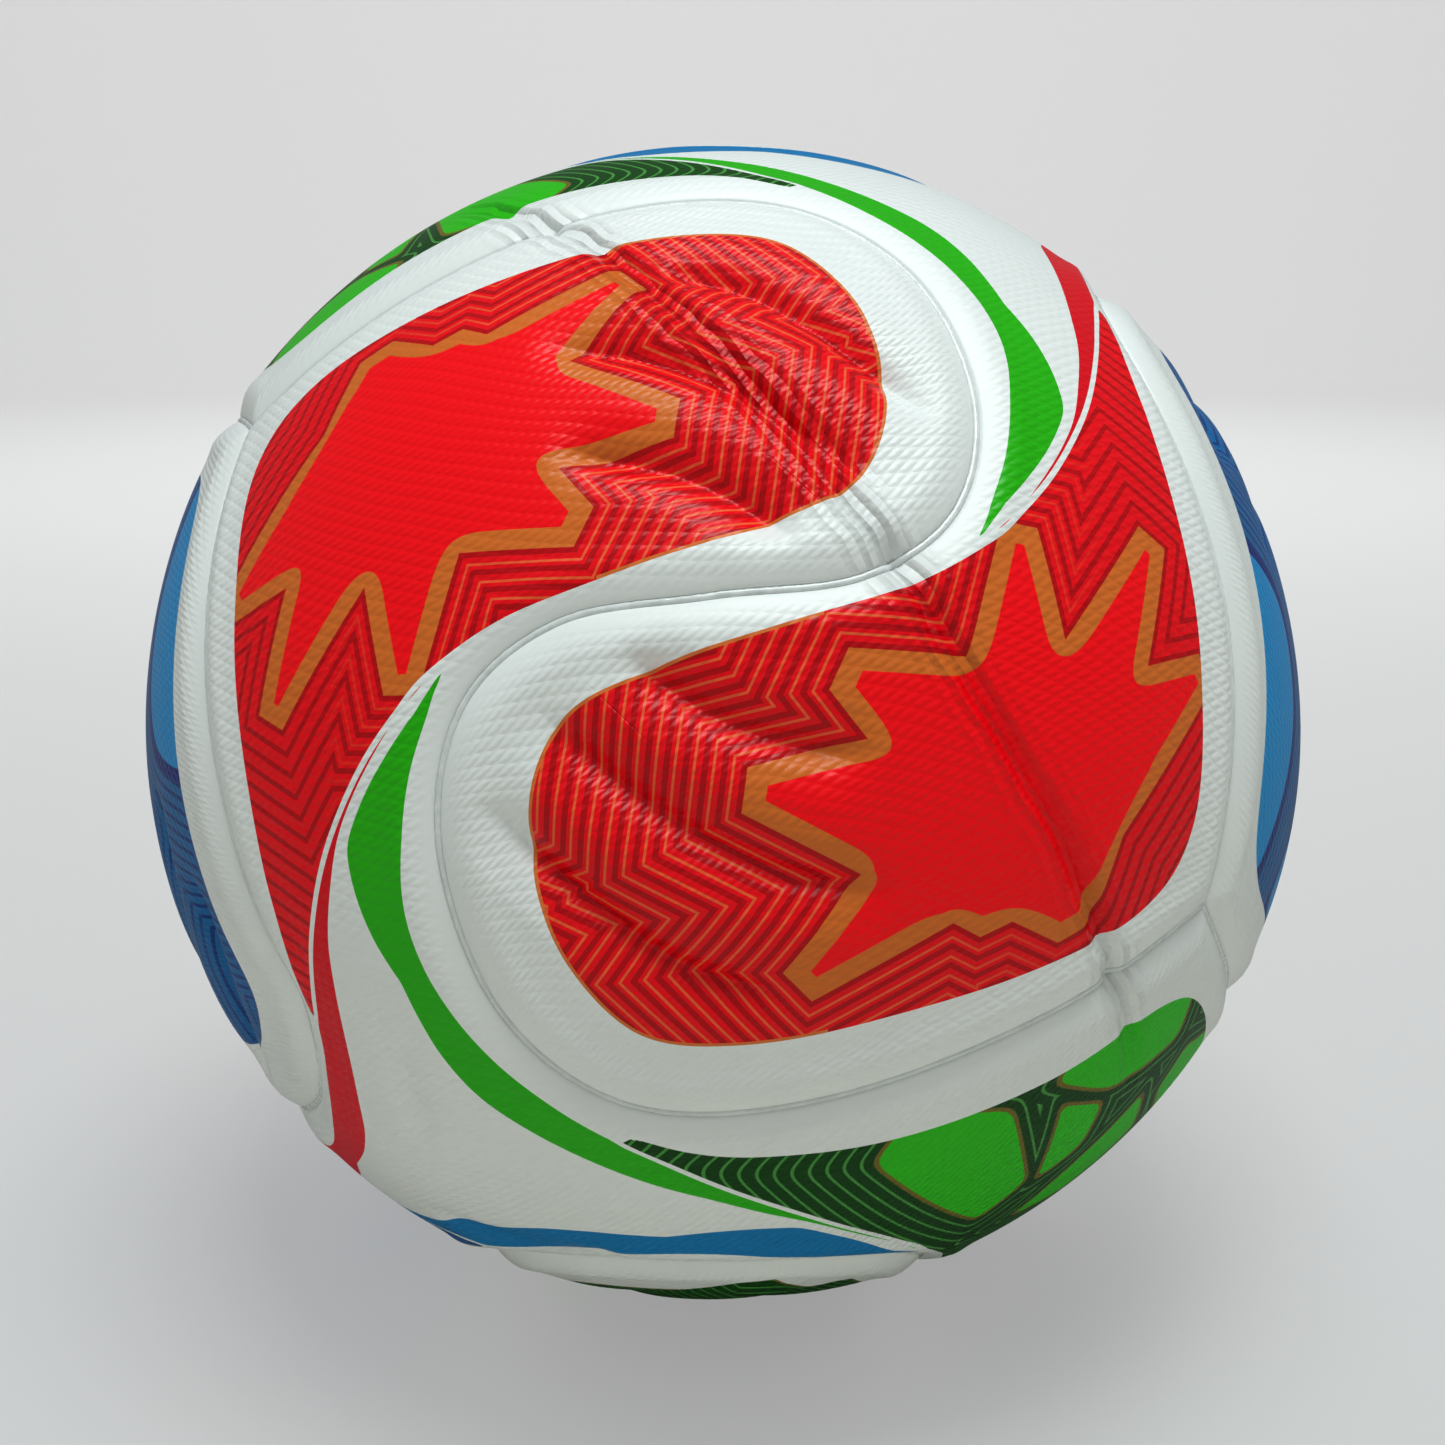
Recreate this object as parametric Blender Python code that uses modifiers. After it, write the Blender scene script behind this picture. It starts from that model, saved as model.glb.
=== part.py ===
"""A size 5 thermally bonded football: four identical three-armed cover panels on their
foam backing, the bonded seam beads between them, a sewn textile carcass of twelve pieces,
and the bladder with its valve and counterweight patch.

Metres, +Z up. The origin is the centre of the small flat patch that the ball rests on."""

import math

import bmesh
import bpy
from mathutils import Euler, Matrix, Vector
from mathutils.geometry import delaunay_2d_cdt

# Overall size: a size 5 ball, 690 mm round.
BALL_RADIUS = 0.1098
FOOT_RADIUS = 0.016

# Wall thicknesses, from the outside in.
COVER_WALL = 0.0012
FOAM_WALL = 0.0030
CARCASS_WALL = 0.0008
BLADDER_WALL = 0.0009

# Clearances between the layers. The last two leave room for the flat facets.
COVER_TO_FOAM = 0.00035
FOAM_TO_CARCASS = 0.00070
CARCASS_TO_BLADDER = 0.00070
CARCASS_GAP = 0.00018  # from a carcass piece's edge to the middle of its sewn joint

# Seams between the panels.
SEAM_GAP = 0.0016
BEAD_RADIUS = 0.00045
BEAD_DEPTH = 0.0011
BEAD_END_GAP = 0.0016

# Facets: angles at the ball's centre, in degrees.
GRID_STEP = 10.5
CARCASS_GRID_STEP = 10.0
SEAM_STEPS = 32
CARCASS_EDGE_STEPS = 5
LONGEST_EDGE = 1.2  # times the grid step
SPLIT_ROUNDS = 5
HOLE_STEPS = 12
FOOT_STEPS = 16
GRID_REACH = 130  # half the side of the square of grid points that is tried, in degrees
GRID_CLEARANCE = 0.60  # times the grid step, to a point that is already there
HOLE_RING = 0.7  # times the grid step, from a hole's edge to the wider ring round it
CURVE_STEPS = 12  # between two of the seam's points
NO_ANGLE = 1e-9
SHARP_ANGLE = math.radians(40)
SAME_PANEL = math.radians(1)

# Valve, with radii about its own axis.
COVER_HOLE_RADIUS = 0.0042
FOAM_HOLE_RADIUS = 0.0046
CARCASS_HOLE_RADIUS = 0.0050
BLADDER_HOLE_RADIUS = 0.0038
STEM_RADIUS = 0.0034
STEM_TOP = 0.0005
STEM_LENGTH = 0.0125
STEM_CHAMFER = 0.0004
STEM_FOOT = 0.0012
STEM_BORE_RADIUS = 0.0022
BORE_CLEARANCE = 0.0003  # under the core
FLANGE_RADIUS = 0.0125
FLANGE_THICKNESS = 0.0016
FLANGE_ROOT = 0.0008
CORE_RADIUS = 0.0019
CORE_TOP = 0.0008
CORE_LENGTH = 0.0098
CORE_CORNER = 0.0002
CORE_CHAMFER = 0.0006
NEEDLE_HOLE_RADIUS = 0.0009
NEEDLE_HOLE_DEPTH = 0.0060
NEEDLE_LEAD_DEPTH = 0.0006
NEEDLE_LEAD_WIDTH = 0.0004
PATCH_RADIUS = 0.0150
PATCH_THICKNESS = 0.0014
PATCH_BEVEL = 0.0008
INSIDE_GAP = 0.0006
CUTTER_LENGTH = 0.02
MERGE_DISTANCE = 0.00001
HOUSING_STEPS = 24
CORE_STEPS = 20
PATCH_STEPS = 20
FLANGE_ROWS = 3
PATCH_ROWS = 4

# How the ball lies: turns about X, Y and Z that bring its own axes to the row frame's.
BALL_TURN_DEG = (18.3, -24.34, -91.04)

# The ball's own frame has the six seams centred on +-X, +-Y and +-Z. Half of the seam
# about +X, from its middle to the corner where three seams meet, in degrees along and
# across the line between the seam's two corners. The other half is its half turn.
HALF_SEAM = [
    (0, 0),
    (-9.5, -6.8),
    (-13.5, -16),
    (-10.2, -27),
    (0, -37),
    (13, -39.2),
    (27, -31.4),
    (41, -17),
    (math.degrees(math.acos(1 / math.sqrt(3))), 0),
]

# The six seams' middles turn into each other by these quarter and third turns.
PANEL_AXIS = Vector((1, 1, 1)).normalized()
CYCLE = Matrix(((0, 0, 1), (1, 0, 0), (0, 1, 0)))
HALF_TURNS = [Matrix.Rotation(math.pi, 3, axis) for axis in ("X", "Y", "Z")]

# Colours as linear values, with roughness and metallic.
COVER_FINISH = ((0.78, 0.80, 0.79, 1), 0.38, 0)
FOAM_FINISH = ((0.62, 0.60, 0.54, 1), 0.90, 0)
BEAD_FINISH = ((0.55, 0.56, 0.54, 1), 0.22, 0)
CARCASS_FINISH = ((0.70, 0.66, 0.56, 1), 0.95, 0)
BLADDER_FINISH = ((0.02, 0.02, 0.02, 1), 0.55, 0)
VALVE_FINISH = ((0.60, 0.62, 0.61, 1), 0.55, 0)
CORE_FINISH = ((0.04, 0.04, 0.04, 1), 0.50, 0)
PATCH_FINISH = ((0.05, 0.05, 0.05, 1), 0.60, 0)

BALL_TURN = Euler([math.radians(a) for a in BALL_TURN_DEG]).to_matrix()
CENTRE_HEIGHT = math.sqrt(BALL_RADIUS**2 - FOOT_RADIUS**2)
CENTRE = Vector((0, 0, CENTRE_HEIGHT))

COVER_RADIUS = BALL_RADIUS
FOAM_RADIUS = COVER_RADIUS - COVER_WALL - COVER_TO_FOAM
CARCASS_RADIUS = FOAM_RADIUS - FOAM_WALL - FOAM_TO_CARCASS
BLADDER_RADIUS = CARCASS_RADIUS - CARCASS_WALL - CARCASS_TO_BLADDER
BLADDER_INSIDE = BLADDER_RADIUS - BLADDER_WALL


def clear_scene():
    for obj in list(bpy.data.objects):
        bpy.data.objects.remove(obj, do_unlink=True)


def new_collection(name):
    collection = bpy.data.collections.new(name)
    bpy.context.scene.collection.children.link(collection)
    return collection


def new_material(name, finish):
    colour, roughness, metallic = finish
    material = bpy.data.materials.new(name)
    material.use_nodes = True
    shader = material.node_tree.nodes["Principled BSDF"]
    shader.inputs["Base Color"].default_value = colour
    shader.inputs["Roughness"].default_value = roughness
    shader.inputs["Metallic"].default_value = metallic
    material.diffuse_color = colour
    return material


def add_object(name, data, collection, finish):
    obj = bpy.data.objects.new(name, data)
    data.materials.append(new_material(name + "_finish", finish))
    collection.objects.link(obj)
    return obj


def smooth_curve(points, steps_between):
    """Points on a smooth curve through the given ones (Catmull-Rom)."""
    padded = [2 * points[0] - points[1], *points, 2 * points[-1] - points[-2]]
    curve = []
    for before, start, end, after in zip(padded, padded[1:], padded[2:], padded[3:]):
        for step in range(steps_between):
            t = step / steps_between
            curve.append(
                start
                + (end - before) * (t / 2)
                + (2 * before - 5 * start + 4 * end - after) * (t * t / 2)
                + (3 * start - before - 3 * end + after) * (t**3 / 2)
            )
    curve.append(points[-1].copy())
    return curve


def even_steps(curve, count):
    """The curve cut into count stretches of equal length."""
    lengths = [0.0]
    for start, end in zip(curve, curve[1:]):
        lengths.append(lengths[-1] + (end - start).length)
    points = []
    at = 0
    for step in range(count + 1):
        wanted = lengths[-1] * step / count
        while at < len(curve) - 2 and lengths[at + 1] < wanted:
            at += 1
        share = (wanted - lengths[at]) / (lengths[at + 1] - lengths[at])
        points.append(curve[at].lerp(curve[at + 1], min(1, max(0, share))))
    return points


def seam_directions(steps):
    """Unit vectors along the seam about +X, from corner (1, 1, -1) to corner (1, -1, 1)."""
    half = [Vector(point) for point in HALF_SEAM]
    whole = [-point for point in reversed(half[1:])] + half
    along = Vector((0, 1, -1)).normalized()
    across = Vector((0, 1, 1)).normalized()
    directions = []
    for point in even_steps(smooth_curve(whole, CURVE_STEPS), steps):
        angle = math.radians(point.length)
        if angle < NO_ANGLE:
            directions.append(Vector((1, 0, 0)))
            continue
        side = (along * point.x + across * point.y).normalized()
        directions.append(Vector((math.cos(angle), 0, 0)) + side * math.sin(angle))
    return directions[::-1]


def seam_turns():
    """The six turns that take the seam about +X to each seam."""
    first = [Matrix.Identity(3), CYCLE, CYCLE @ CYCLE]
    opposite = [HALF_TURNS[1], HALF_TURNS[2] @ CYCLE, HALF_TURNS[0] @ CYCLE @ CYCLE]
    return first + opposite


def panel_turns():
    """The four turns that take the panel about (1, 1, 1) to each panel."""
    return [Matrix.Identity(3), *HALF_TURNS]


def panel_outline(steps):
    """The edge of the panel about (1, 1, 1), once round, as unit vectors."""
    seam = seam_directions(steps)
    outline = []
    for turn in (Matrix.Identity(3), CYCLE @ CYCLE, CYCLE):
        outline += [turn @ direction for direction in seam[:-1]]
    return outline


def drawn_in(outline, centre, angle):
    """The outline moved inwards over the sphere by an angle."""
    turns = sum(
        (a.cross(b)).dot(centre) for a, b in zip(outline, outline[1:] + outline[:1])
    )
    side = 1 if turns > 0 else -1
    moved = []
    for index, here in enumerate(outline):
        ahead = outline[(index + 1) % len(outline)]
        behind = outline[index - 1]
        inwards = here.cross(ahead - behind).normalized() * side
        moved.append((here + inwards * math.tan(angle)).normalized())
    return moved


def flat_axes(centre):
    """Two directions across the centre one."""
    guide = Vector((0, 0, 1)) if abs(centre.z) < 0.9 else Vector((1, 0, 0))
    first = guide.cross(centre).normalized()
    return first, centre.cross(first)


def flattened(direction, centre, axes):
    """The direction laid flat about the centre one, keeping its angle from it in degrees."""
    angle = centre.angle(direction)
    across = Vector((direction.dot(axes[0]), direction.dot(axes[1])))
    return across.normalized() * math.degrees(angle) if across.length > NO_ANGLE else across


def raised(point, centre, axes):
    """The unit vector that a flat point stands for."""
    angle = math.radians(point.length)
    if angle < NO_ANGLE:
        return centre.copy()
    side = (axes[0] * point.x + axes[1] * point.y).normalized()
    return centre * math.cos(angle) + side * math.sin(angle)


def inside(point, polygon):
    """Whether a flat point lies inside a flat polygon."""
    found = False
    for start, end in zip(polygon, polygon[1:] + polygon[:1]):
        if (start.y > point.y) != (end.y > point.y):
            across = (end.x - start.x) * (point.y - start.y) / (end.y - start.y)
            if point.x < start.x + across:
                found = not found
    return found


def sides(face):
    return zip(face, face[1:] + face[:1])


def ring(direction, angle, count):
    """Unit vectors round a direction, at an angle from it."""
    axes = flat_axes(direction)
    turns = [2 * math.pi * step / count for step in range(count)]
    return [
        direction * math.cos(angle)
        + (axes[0] * math.cos(turn) + axes[1] * math.sin(turn)) * math.sin(angle)
        for turn in turns
    ]


def sheet_mesh(name, outline, centre, step, rings, hole):
    """An open, even-faced mesh on the unit sphere inside an outline.

    rings are (direction, angle, points) circles that have corners of their own, and hole
    is the (direction, angle) of the round hole in it, or None."""
    axes = flat_axes(centre)
    border = [flattened(direction, centre, axes) for direction in outline]
    fixed = []
    for direction, angle, count in rings:
        middle = flattened(direction, centre, axes)
        if not inside(middle, border):
            continue
        fixed += [flattened(d, centre, axes) for d in ring(direction, angle, count)]
        if hole is None or direction.angle(hole[0]) > hole[1]:
            fixed.append(middle)
    kept = list(fixed)
    reach = int(GRID_REACH / step)
    for row in range(-reach, reach + 1):
        for column in range(-reach, reach + 1):
            point = Vector((step * (column + (row % 2) / 2), step * row * math.sqrt(3) / 2))
            if not inside(point, border):
                continue
            if min((point - other).length for other in border) < GRID_CLEARANCE * step:
                continue
            if fixed and min((point - other).length for other in fixed) < GRID_CLEARANCE * step:
                continue
            kept.append(point)
    points = border + kept
    loop = [list(range(len(border)))]
    longest = math.radians(LONGEST_EDGE * step)
    for _ in range(SPLIT_ROUNDS):
        made = delaunay_2d_cdt(points, [], loop, 1, 1e-6)
        directions = [raised(point, centre, axes) for point in made[0]]
        edges = {tuple(sorted(pair)) for face in made[2] for pair in sides(face)}
        points = list(made[0])
        for start, end in sorted(edges):
            on_border = start < len(border) and end < len(border)
            if directions[start].angle(directions[end]) > longest and not on_border:
                points.append((made[0][start] + made[0][end]) / 2)
        if len(points) == len(made[0]):
            break
    mesh = bpy.data.meshes.new(name)
    faces = []
    for face in made[2]:
        middle = sum((directions[i] for i in face), Vector()).normalized()
        if hole is None or middle.angle(hole[0]) > hole[1]:
            faces.append(face)
    mesh.from_pydata(directions, [], faces)
    mesh.validate()
    drop_loose(mesh)
    return mesh


def drop_loose(mesh):
    """Removes points that no face uses, and turns every face outwards."""
    work = bmesh.new()
    work.from_mesh(mesh)
    loose = [vert for vert in work.verts if not vert.link_faces]
    bmesh.ops.delete(work, geom=loose, context="VERTS")
    for face in work.faces:
        face.normal_update()
        if face.normal.dot(face.calc_center_median()) < 0:
            face.normal_flip()
    work.to_mesh(mesh)
    work.free()


def rest_on_floor(mesh, radius, floor):
    """Scales a unit mesh to its radius, and presses what lies below floor up to it."""
    for vert in mesh.vertices:
        vert.co = vert.co.normalized() * radius
        vert.co.z = max(vert.co.z, floor - CENTRE_HEIGHT)
    mesh.update()


def layer(name, mesh, radius, depth, wall, collection, finish):
    """A curved sheet of a layer: its mesh at its radius, thickened inwards."""
    rest_on_floor(mesh, radius, depth)
    mesh.shade_smooth()
    mesh.set_sharp_from_angle(angle=SHARP_ANGLE)
    obj = add_object(name, mesh, collection, finish)
    obj.location = CENTRE
    solidify = obj.modifiers.new("wall", "SOLIDIFY")
    solidify.thickness = wall
    solidify.offset = -1
    return obj


def floor_ring(foot_angle):
    return (Vector((0, 0, -1)), foot_angle, FOOT_STEPS)


def hole_rings(hole, step):
    """The edge of a hole, and a wider ring round it that keeps the facets near it small."""
    direction, angle = hole
    return [
        (direction, angle, HOLE_STEPS),
        (direction, angle + math.radians(step * HOLE_RING), HOLE_STEPS - 2),
    ]


def valve_direction():
    """The valve is in the middle of the panel at the back left."""
    return BALL_TURN @ (HALF_TURNS[2] @ PANEL_AXIS)


def make_panels(collection):
    valve = valve_direction()
    foot_angle = math.asin(FOOT_RADIUS / BALL_RADIUS)
    foam_depth = COVER_WALL + COVER_TO_FOAM
    outline = drawn_in(panel_outline(SEAM_STEPS), PANEL_AXIS, SEAM_GAP / 2 / BALL_RADIUS)
    for number, turn in enumerate(panel_turns(), 1):
        matrix = BALL_TURN @ turn
        placed = [matrix @ direction for direction in outline]
        centre = matrix @ PANEL_AXIS
        has_valve = centre.angle(valve) < SAME_PANEL
        layers = (
            ("cover_panel", COVER_RADIUS, 0, COVER_WALL, COVER_HOLE_RADIUS, COVER_FINISH),
            ("foam_panel", FOAM_RADIUS, foam_depth, FOAM_WALL, FOAM_HOLE_RADIUS, FOAM_FINISH),
        )
        for name, radius, depth, wall, hole_radius, finish in layers:
            name = f"{name}_{number}"
            rings = [floor_ring(foot_angle)]
            hole = None
            if has_valve:
                hole = (valve, math.asin(hole_radius / radius))
                rings += hole_rings(hole, GRID_STEP)
            mesh = sheet_mesh(name, placed, centre, GRID_STEP, rings, hole)
            layer(name, mesh, radius, depth, wall, collection, finish)


def make_seam_beads(collection):
    """The line of adhesive that fills the groove between two panels, one for each seam."""
    radius = BALL_RADIUS - BEAD_DEPTH
    seam = seam_directions(SEAM_STEPS)
    for number, turn in enumerate(seam_turns(), 1):
        points = [BALL_TURN @ turn @ direction * radius for direction in seam]
        for end, inner in ((0, 1), (-1, -2)):
            stretch = points[inner] - points[end]
            points[end] = points[end] + stretch.normalized() * BEAD_END_GAP
        curve = bpy.data.curves.new(f"seam_bead_{number}", "CURVE")
        curve.dimensions = "3D"
        curve.bevel_depth = BEAD_RADIUS
        curve.bevel_resolution = 0
        curve.use_fill_caps = True
        spline = curve.splines.new("POLY")
        spline.points.add(len(points) - 1)
        for point, place in zip(spline.points, points):
            point.co = (*place, 1)
        bead = add_object(curve.name, curve, collection, BEAD_FINISH)
        bead.location = CENTRE


def pentagon_corners():
    """The twelve faces of a regular dodecahedron: (centre, its five corners)."""
    golden = (1 + math.sqrt(5)) / 2
    centres = []
    for first in (1, -1):
        for second in (golden, -golden):
            centres += [(0, first, second), (first, second, 0), (second, 0, first)]
    centres = [Vector(centre).normalized() for centre in centres]
    # a face's neighbours are closer than a quarter turn, the rest are further
    nearest = math.pi / 2
    faces = []
    for centre in centres:
        axes = flat_axes(centre)
        others = [c for c in centres if c is not centre and c.angle(centre) < nearest]
        others.sort(key=lambda c: math.atan2(c.dot(axes[1]), c.dot(axes[0])))
        pairs = zip(others, others[1:] + others[:1])
        faces.append((centre, [(centre + a + b).normalized() for a, b in pairs]))
    return faces


def make_carcass(collection):
    """Twelve five-sided textile pieces, sewn edge to edge round the bladder."""
    valve = valve_direction()
    faces = pentagon_corners()
    to_valve = faces[0][0].rotation_difference(valve).to_matrix()
    depth = COVER_WALL + COVER_TO_FOAM + FOAM_WALL + FOAM_TO_CARCASS
    gap = CARCASS_GAP / CARCASS_RADIUS
    for number, (centre, corners) in enumerate(faces, 1):
        centre = to_valve @ centre
        corners = [to_valve @ corner for corner in corners]
        outline = []
        for start, end in zip(corners, corners[1:] + corners[:1]):
            for step in range(CARCASS_EDGE_STEPS):
                outline.append(start.slerp(end, step / CARCASS_EDGE_STEPS))
        outline = drawn_in(outline, centre, gap)
        hole = None
        rings = []
        if centre.angle(valve) < SAME_PANEL:
            hole = (valve, math.asin(CARCASS_HOLE_RADIUS / CARCASS_RADIUS))
            rings = hole_rings(hole, CARCASS_GRID_STEP)
        name = f"carcass_piece_{number:02d}"
        mesh = sheet_mesh(name, outline, centre, CARCASS_GRID_STEP, rings, hole)
        layer(name, mesh, CARCASS_RADIUS, depth, CARCASS_WALL, collection, CARCASS_FINISH)


def make_bladder(collection, cutters):
    """The airtight rubber ball inside, with a round hole for the valve."""
    mesh = bpy.data.meshes.new("bladder")
    work = bmesh.new()
    bmesh.ops.create_icosphere(work, subdivisions=4, radius=1)
    work.to_mesh(mesh)
    work.free()
    valve = valve_direction()
    turn = valve.to_track_quat("Z", "Y").to_matrix()
    for vert in mesh.vertices:
        vert.co = turn @ vert.co
    depth = BALL_RADIUS - BLADDER_RADIUS
    bladder = layer(
        "bladder", mesh, BLADDER_RADIUS, depth, BLADDER_WALL, collection, BLADDER_FINISH
    )
    bpy.ops.mesh.primitive_cylinder_add(
        vertices=HOLE_STEPS,
        radius=BLADDER_HOLE_RADIUS,
        depth=CUTTER_LENGTH,
        location=CENTRE + valve * BLADDER_RADIUS,
        rotation=valve.to_track_quat("Z", "Y").to_euler(),
    )
    cutter = bpy.context.object
    cutter.name = "bladder_valve_cutter"
    cutter.hide_render = True
    cutter.display_type = "WIRE"
    for owner in list(cutter.users_collection):
        owner.objects.unlink(cutter)
    cutters.objects.link(cutter)
    cut = bladder.modifiers.new("valve hole", "BOOLEAN")
    cut.operation = "DIFFERENCE"
    cut.solver = "EXACT"
    cut.object = cutter


def turned(name, profile, direction, collection, finish, steps):
    """A piece turned about a line from the ball's centre. The profile holds its
    (distance from that line, distance from the centre) points, top to bottom."""
    mesh = bpy.data.meshes.new(name)
    points = [(radius, 0, height) for radius, height in profile]
    mesh.from_pydata(points, [(i, i + 1) for i in range(len(points) - 1)], [])
    obj = add_object(name, mesh, collection, finish)
    obj.location = CENTRE
    obj.rotation_mode = "QUATERNION"
    obj.rotation_quaternion = direction.to_track_quat("Z", "Y")
    screw = obj.modifiers.new("turn", "SCREW")
    screw.steps = steps
    screw.render_steps = steps
    screw.use_merge_vertices = True
    screw.merge_threshold = MERGE_DISTANCE
    screw.use_smooth_shade = True
    return obj


def dome(radius, start, end, steps):
    """Points of an arc about the ball's centre, between two distances from the line."""
    radii = [start + (end - start) * step / steps for step in range(steps + 1)]
    return [(r, math.sqrt(radius**2 - r**2)) for r in radii]


def make_valve(collection):
    valve = valve_direction()
    top = BALL_RADIUS - STEM_TOP
    bottom = top - STEM_LENGTH
    flange_top = BLADDER_INSIDE - INSIDE_GAP
    flange_bottom = flange_top - FLANGE_THICKNESS
    core_top = BALL_RADIUS - CORE_TOP
    core_bottom = core_top - CORE_LENGTH
    housing = [
        (STEM_BORE_RADIUS, top),
        (STEM_RADIUS - STEM_CHAMFER, top),
        (STEM_RADIUS, top - STEM_CHAMFER),
        *dome(flange_top, STEM_RADIUS, FLANGE_RADIUS, FLANGE_ROWS),
        *dome(flange_bottom, FLANGE_RADIUS, STEM_RADIUS + FLANGE_ROOT, FLANGE_ROWS),
        (STEM_RADIUS, bottom + STEM_FOOT),
        (STEM_RADIUS - STEM_FOOT, bottom),
        (0, bottom),
    ]
    bore_bottom = core_bottom - BORE_CLEARANCE
    bore = [(0, bore_bottom), (STEM_BORE_RADIUS, bore_bottom), (STEM_BORE_RADIUS, top)]
    housing = bore[:-1] + housing
    turned("valve_housing", housing, valve, collection, VALVE_FINISH, HOUSING_STEPS)
    core = [
        (0, core_top - NEEDLE_HOLE_DEPTH),
        (NEEDLE_HOLE_RADIUS, core_top - NEEDLE_HOLE_DEPTH),
        (NEEDLE_HOLE_RADIUS, core_top - NEEDLE_LEAD_DEPTH),
        (NEEDLE_HOLE_RADIUS + NEEDLE_LEAD_WIDTH, core_top),
        (CORE_RADIUS - CORE_CORNER, core_top),
        (CORE_RADIUS, core_top - CORE_CORNER),
        (CORE_RADIUS, core_bottom + CORE_CHAMFER),
        (CORE_RADIUS - CORE_CHAMFER, core_bottom),
        (0, core_bottom),
    ]
    turned("valve_core", core, valve, collection, CORE_FINISH, CORE_STEPS)
    patch_top = BLADDER_INSIDE - INSIDE_GAP
    patch = [
        *dome(patch_top, 0, PATCH_RADIUS, PATCH_ROWS),
        *dome(patch_top - PATCH_THICKNESS, PATCH_RADIUS - PATCH_BEVEL, 0, PATCH_ROWS),
    ]
    turned("balance_patch", patch, -valve, collection, PATCH_FINISH, PATCH_STEPS)


def main():
    clear_scene()
    parts = new_collection("soccer_ball")
    cutters = new_collection("cutters")
    cutters.hide_render = True
    make_panels(parts)
    make_seam_beads(parts)
    make_carcass(parts)
    make_bladder(parts, cutters)
    make_valve(parts)


main()
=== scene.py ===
import math
import bpy
import numpy as np
from mathutils import Euler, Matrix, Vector


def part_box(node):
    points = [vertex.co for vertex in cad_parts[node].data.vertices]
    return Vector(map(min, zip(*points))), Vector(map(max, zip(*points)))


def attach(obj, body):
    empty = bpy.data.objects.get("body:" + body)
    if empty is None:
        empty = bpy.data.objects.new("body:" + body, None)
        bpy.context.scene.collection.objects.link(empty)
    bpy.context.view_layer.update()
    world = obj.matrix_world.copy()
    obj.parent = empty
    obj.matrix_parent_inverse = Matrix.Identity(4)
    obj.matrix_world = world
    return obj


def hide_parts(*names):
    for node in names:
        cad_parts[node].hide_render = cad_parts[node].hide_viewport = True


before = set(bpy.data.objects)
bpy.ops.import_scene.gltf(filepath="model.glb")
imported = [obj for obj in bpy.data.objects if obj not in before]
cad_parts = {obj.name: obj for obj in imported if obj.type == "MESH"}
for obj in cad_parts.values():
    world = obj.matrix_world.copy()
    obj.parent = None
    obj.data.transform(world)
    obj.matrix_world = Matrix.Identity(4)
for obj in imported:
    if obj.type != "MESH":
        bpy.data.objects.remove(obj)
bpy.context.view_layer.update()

# the ball as a whole; its own axes have one seam's middle on each of +-X, +-Y and +-Z
ball = {
    "radius": 0.1098,  # size 5, 690 mm round
    "footRadius": 0.016,  # the patch it is pressed flat on
    "turn": (18.3, -24.34, -91.04),  # degrees about X, Y and Z, from its own axes to the model's
    "unevenness": 0.00055,
    "waves": 14,
    "waveCounts": (3, 9),  # the fewest waves across the ball, and how many more
    "waveEvening": (0.4, 8),  # short waves are made lower than long ones
    "seed": 5,
    # soft dents in the ball's own axes: one end, the other end, mm deep, mm to either side
    "dents": [
        ((0.38, -0.84, -0.38), (0.55, -0.77, -0.32), 2.6, 15),
        ((0.70, -0.60, -0.42), (0.60, -0.60, -0.52), 1.1, 2.6),
        ((0.38, -0.63, -0.66), (0.45, -0.43, -0.77), 1.4, 3.4),
        ((-0.30, 0.80, 0.52), (-0.45, 0.70, 0.55), 1.2, 6),
    ],
}
centre = np.array([0, 0, math.sqrt(ball["radius"] ** 2 - ball["footRadius"] ** 2)])
panelAhead = np.array([1.0, 0, 0])  # a panel's flat X
ballTurn = np.array(Euler([math.radians(a) for a in ball["turn"]]).to_matrix())
panelCentre = np.ones(3) / math.sqrt(3)
thirdTurn = np.array([[0, 0, 1], [1, 0, 0], [0, 1, 0]], float)  # X to Y to Z
halfTurns = [np.diag(d) for d in ((1.0, 1, 1), (1.0, -1, -1), (-1.0, 1, -1), (-1.0, -1, 1))]
perDegree = math.radians(1) * ball["radius"] * 1000  # mm on the cover for one degree
footBlend = 0.0006  # metres over which the ball's round turns into its flat foot
batch = 20000  # points compared at a time, to save memory


# small helpers


def colour(code):
    # sRGB hex to the linear numbers that shaders take
    parts = [int(code[i:i + 2], 16) / 255 for i in (1, 3, 5)]
    return (*[c / 12.92 if c <= 0.04045 else ((c + 0.055) / 1.055) ** 2.4 for c in parts], 1)


def addNode(tree, kind, inputs=(), output=0, **settings):
    # one node with its settings, its fixed values and its links; gives back one of its outputs
    node = tree.nodes.new("ShaderNode" + kind)
    for name, value in settings.items():
        setattr(node, name, value)
    pairs = inputs.items() if isinstance(inputs, dict) else enumerate(inputs)
    for socket, value in pairs:
        if isinstance(value, bpy.types.NodeSocket):
            tree.links.new(value, node.inputs[socket])
        else:
            node.inputs[socket].default_value = value
    return node.outputs[output]


def newMaterial(name, **fixed):
    # an empty node material and its shader, with the values that are the same all over
    material = bpy.data.materials.new(name)
    material.use_nodes = True
    tree = material.node_tree
    shader = tree.nodes["Principled BSDF"]
    for socket, value in fixed.items():
        shader.inputs[socket.replace("_", " ")].default_value = value
    return material, tree, shader


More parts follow.
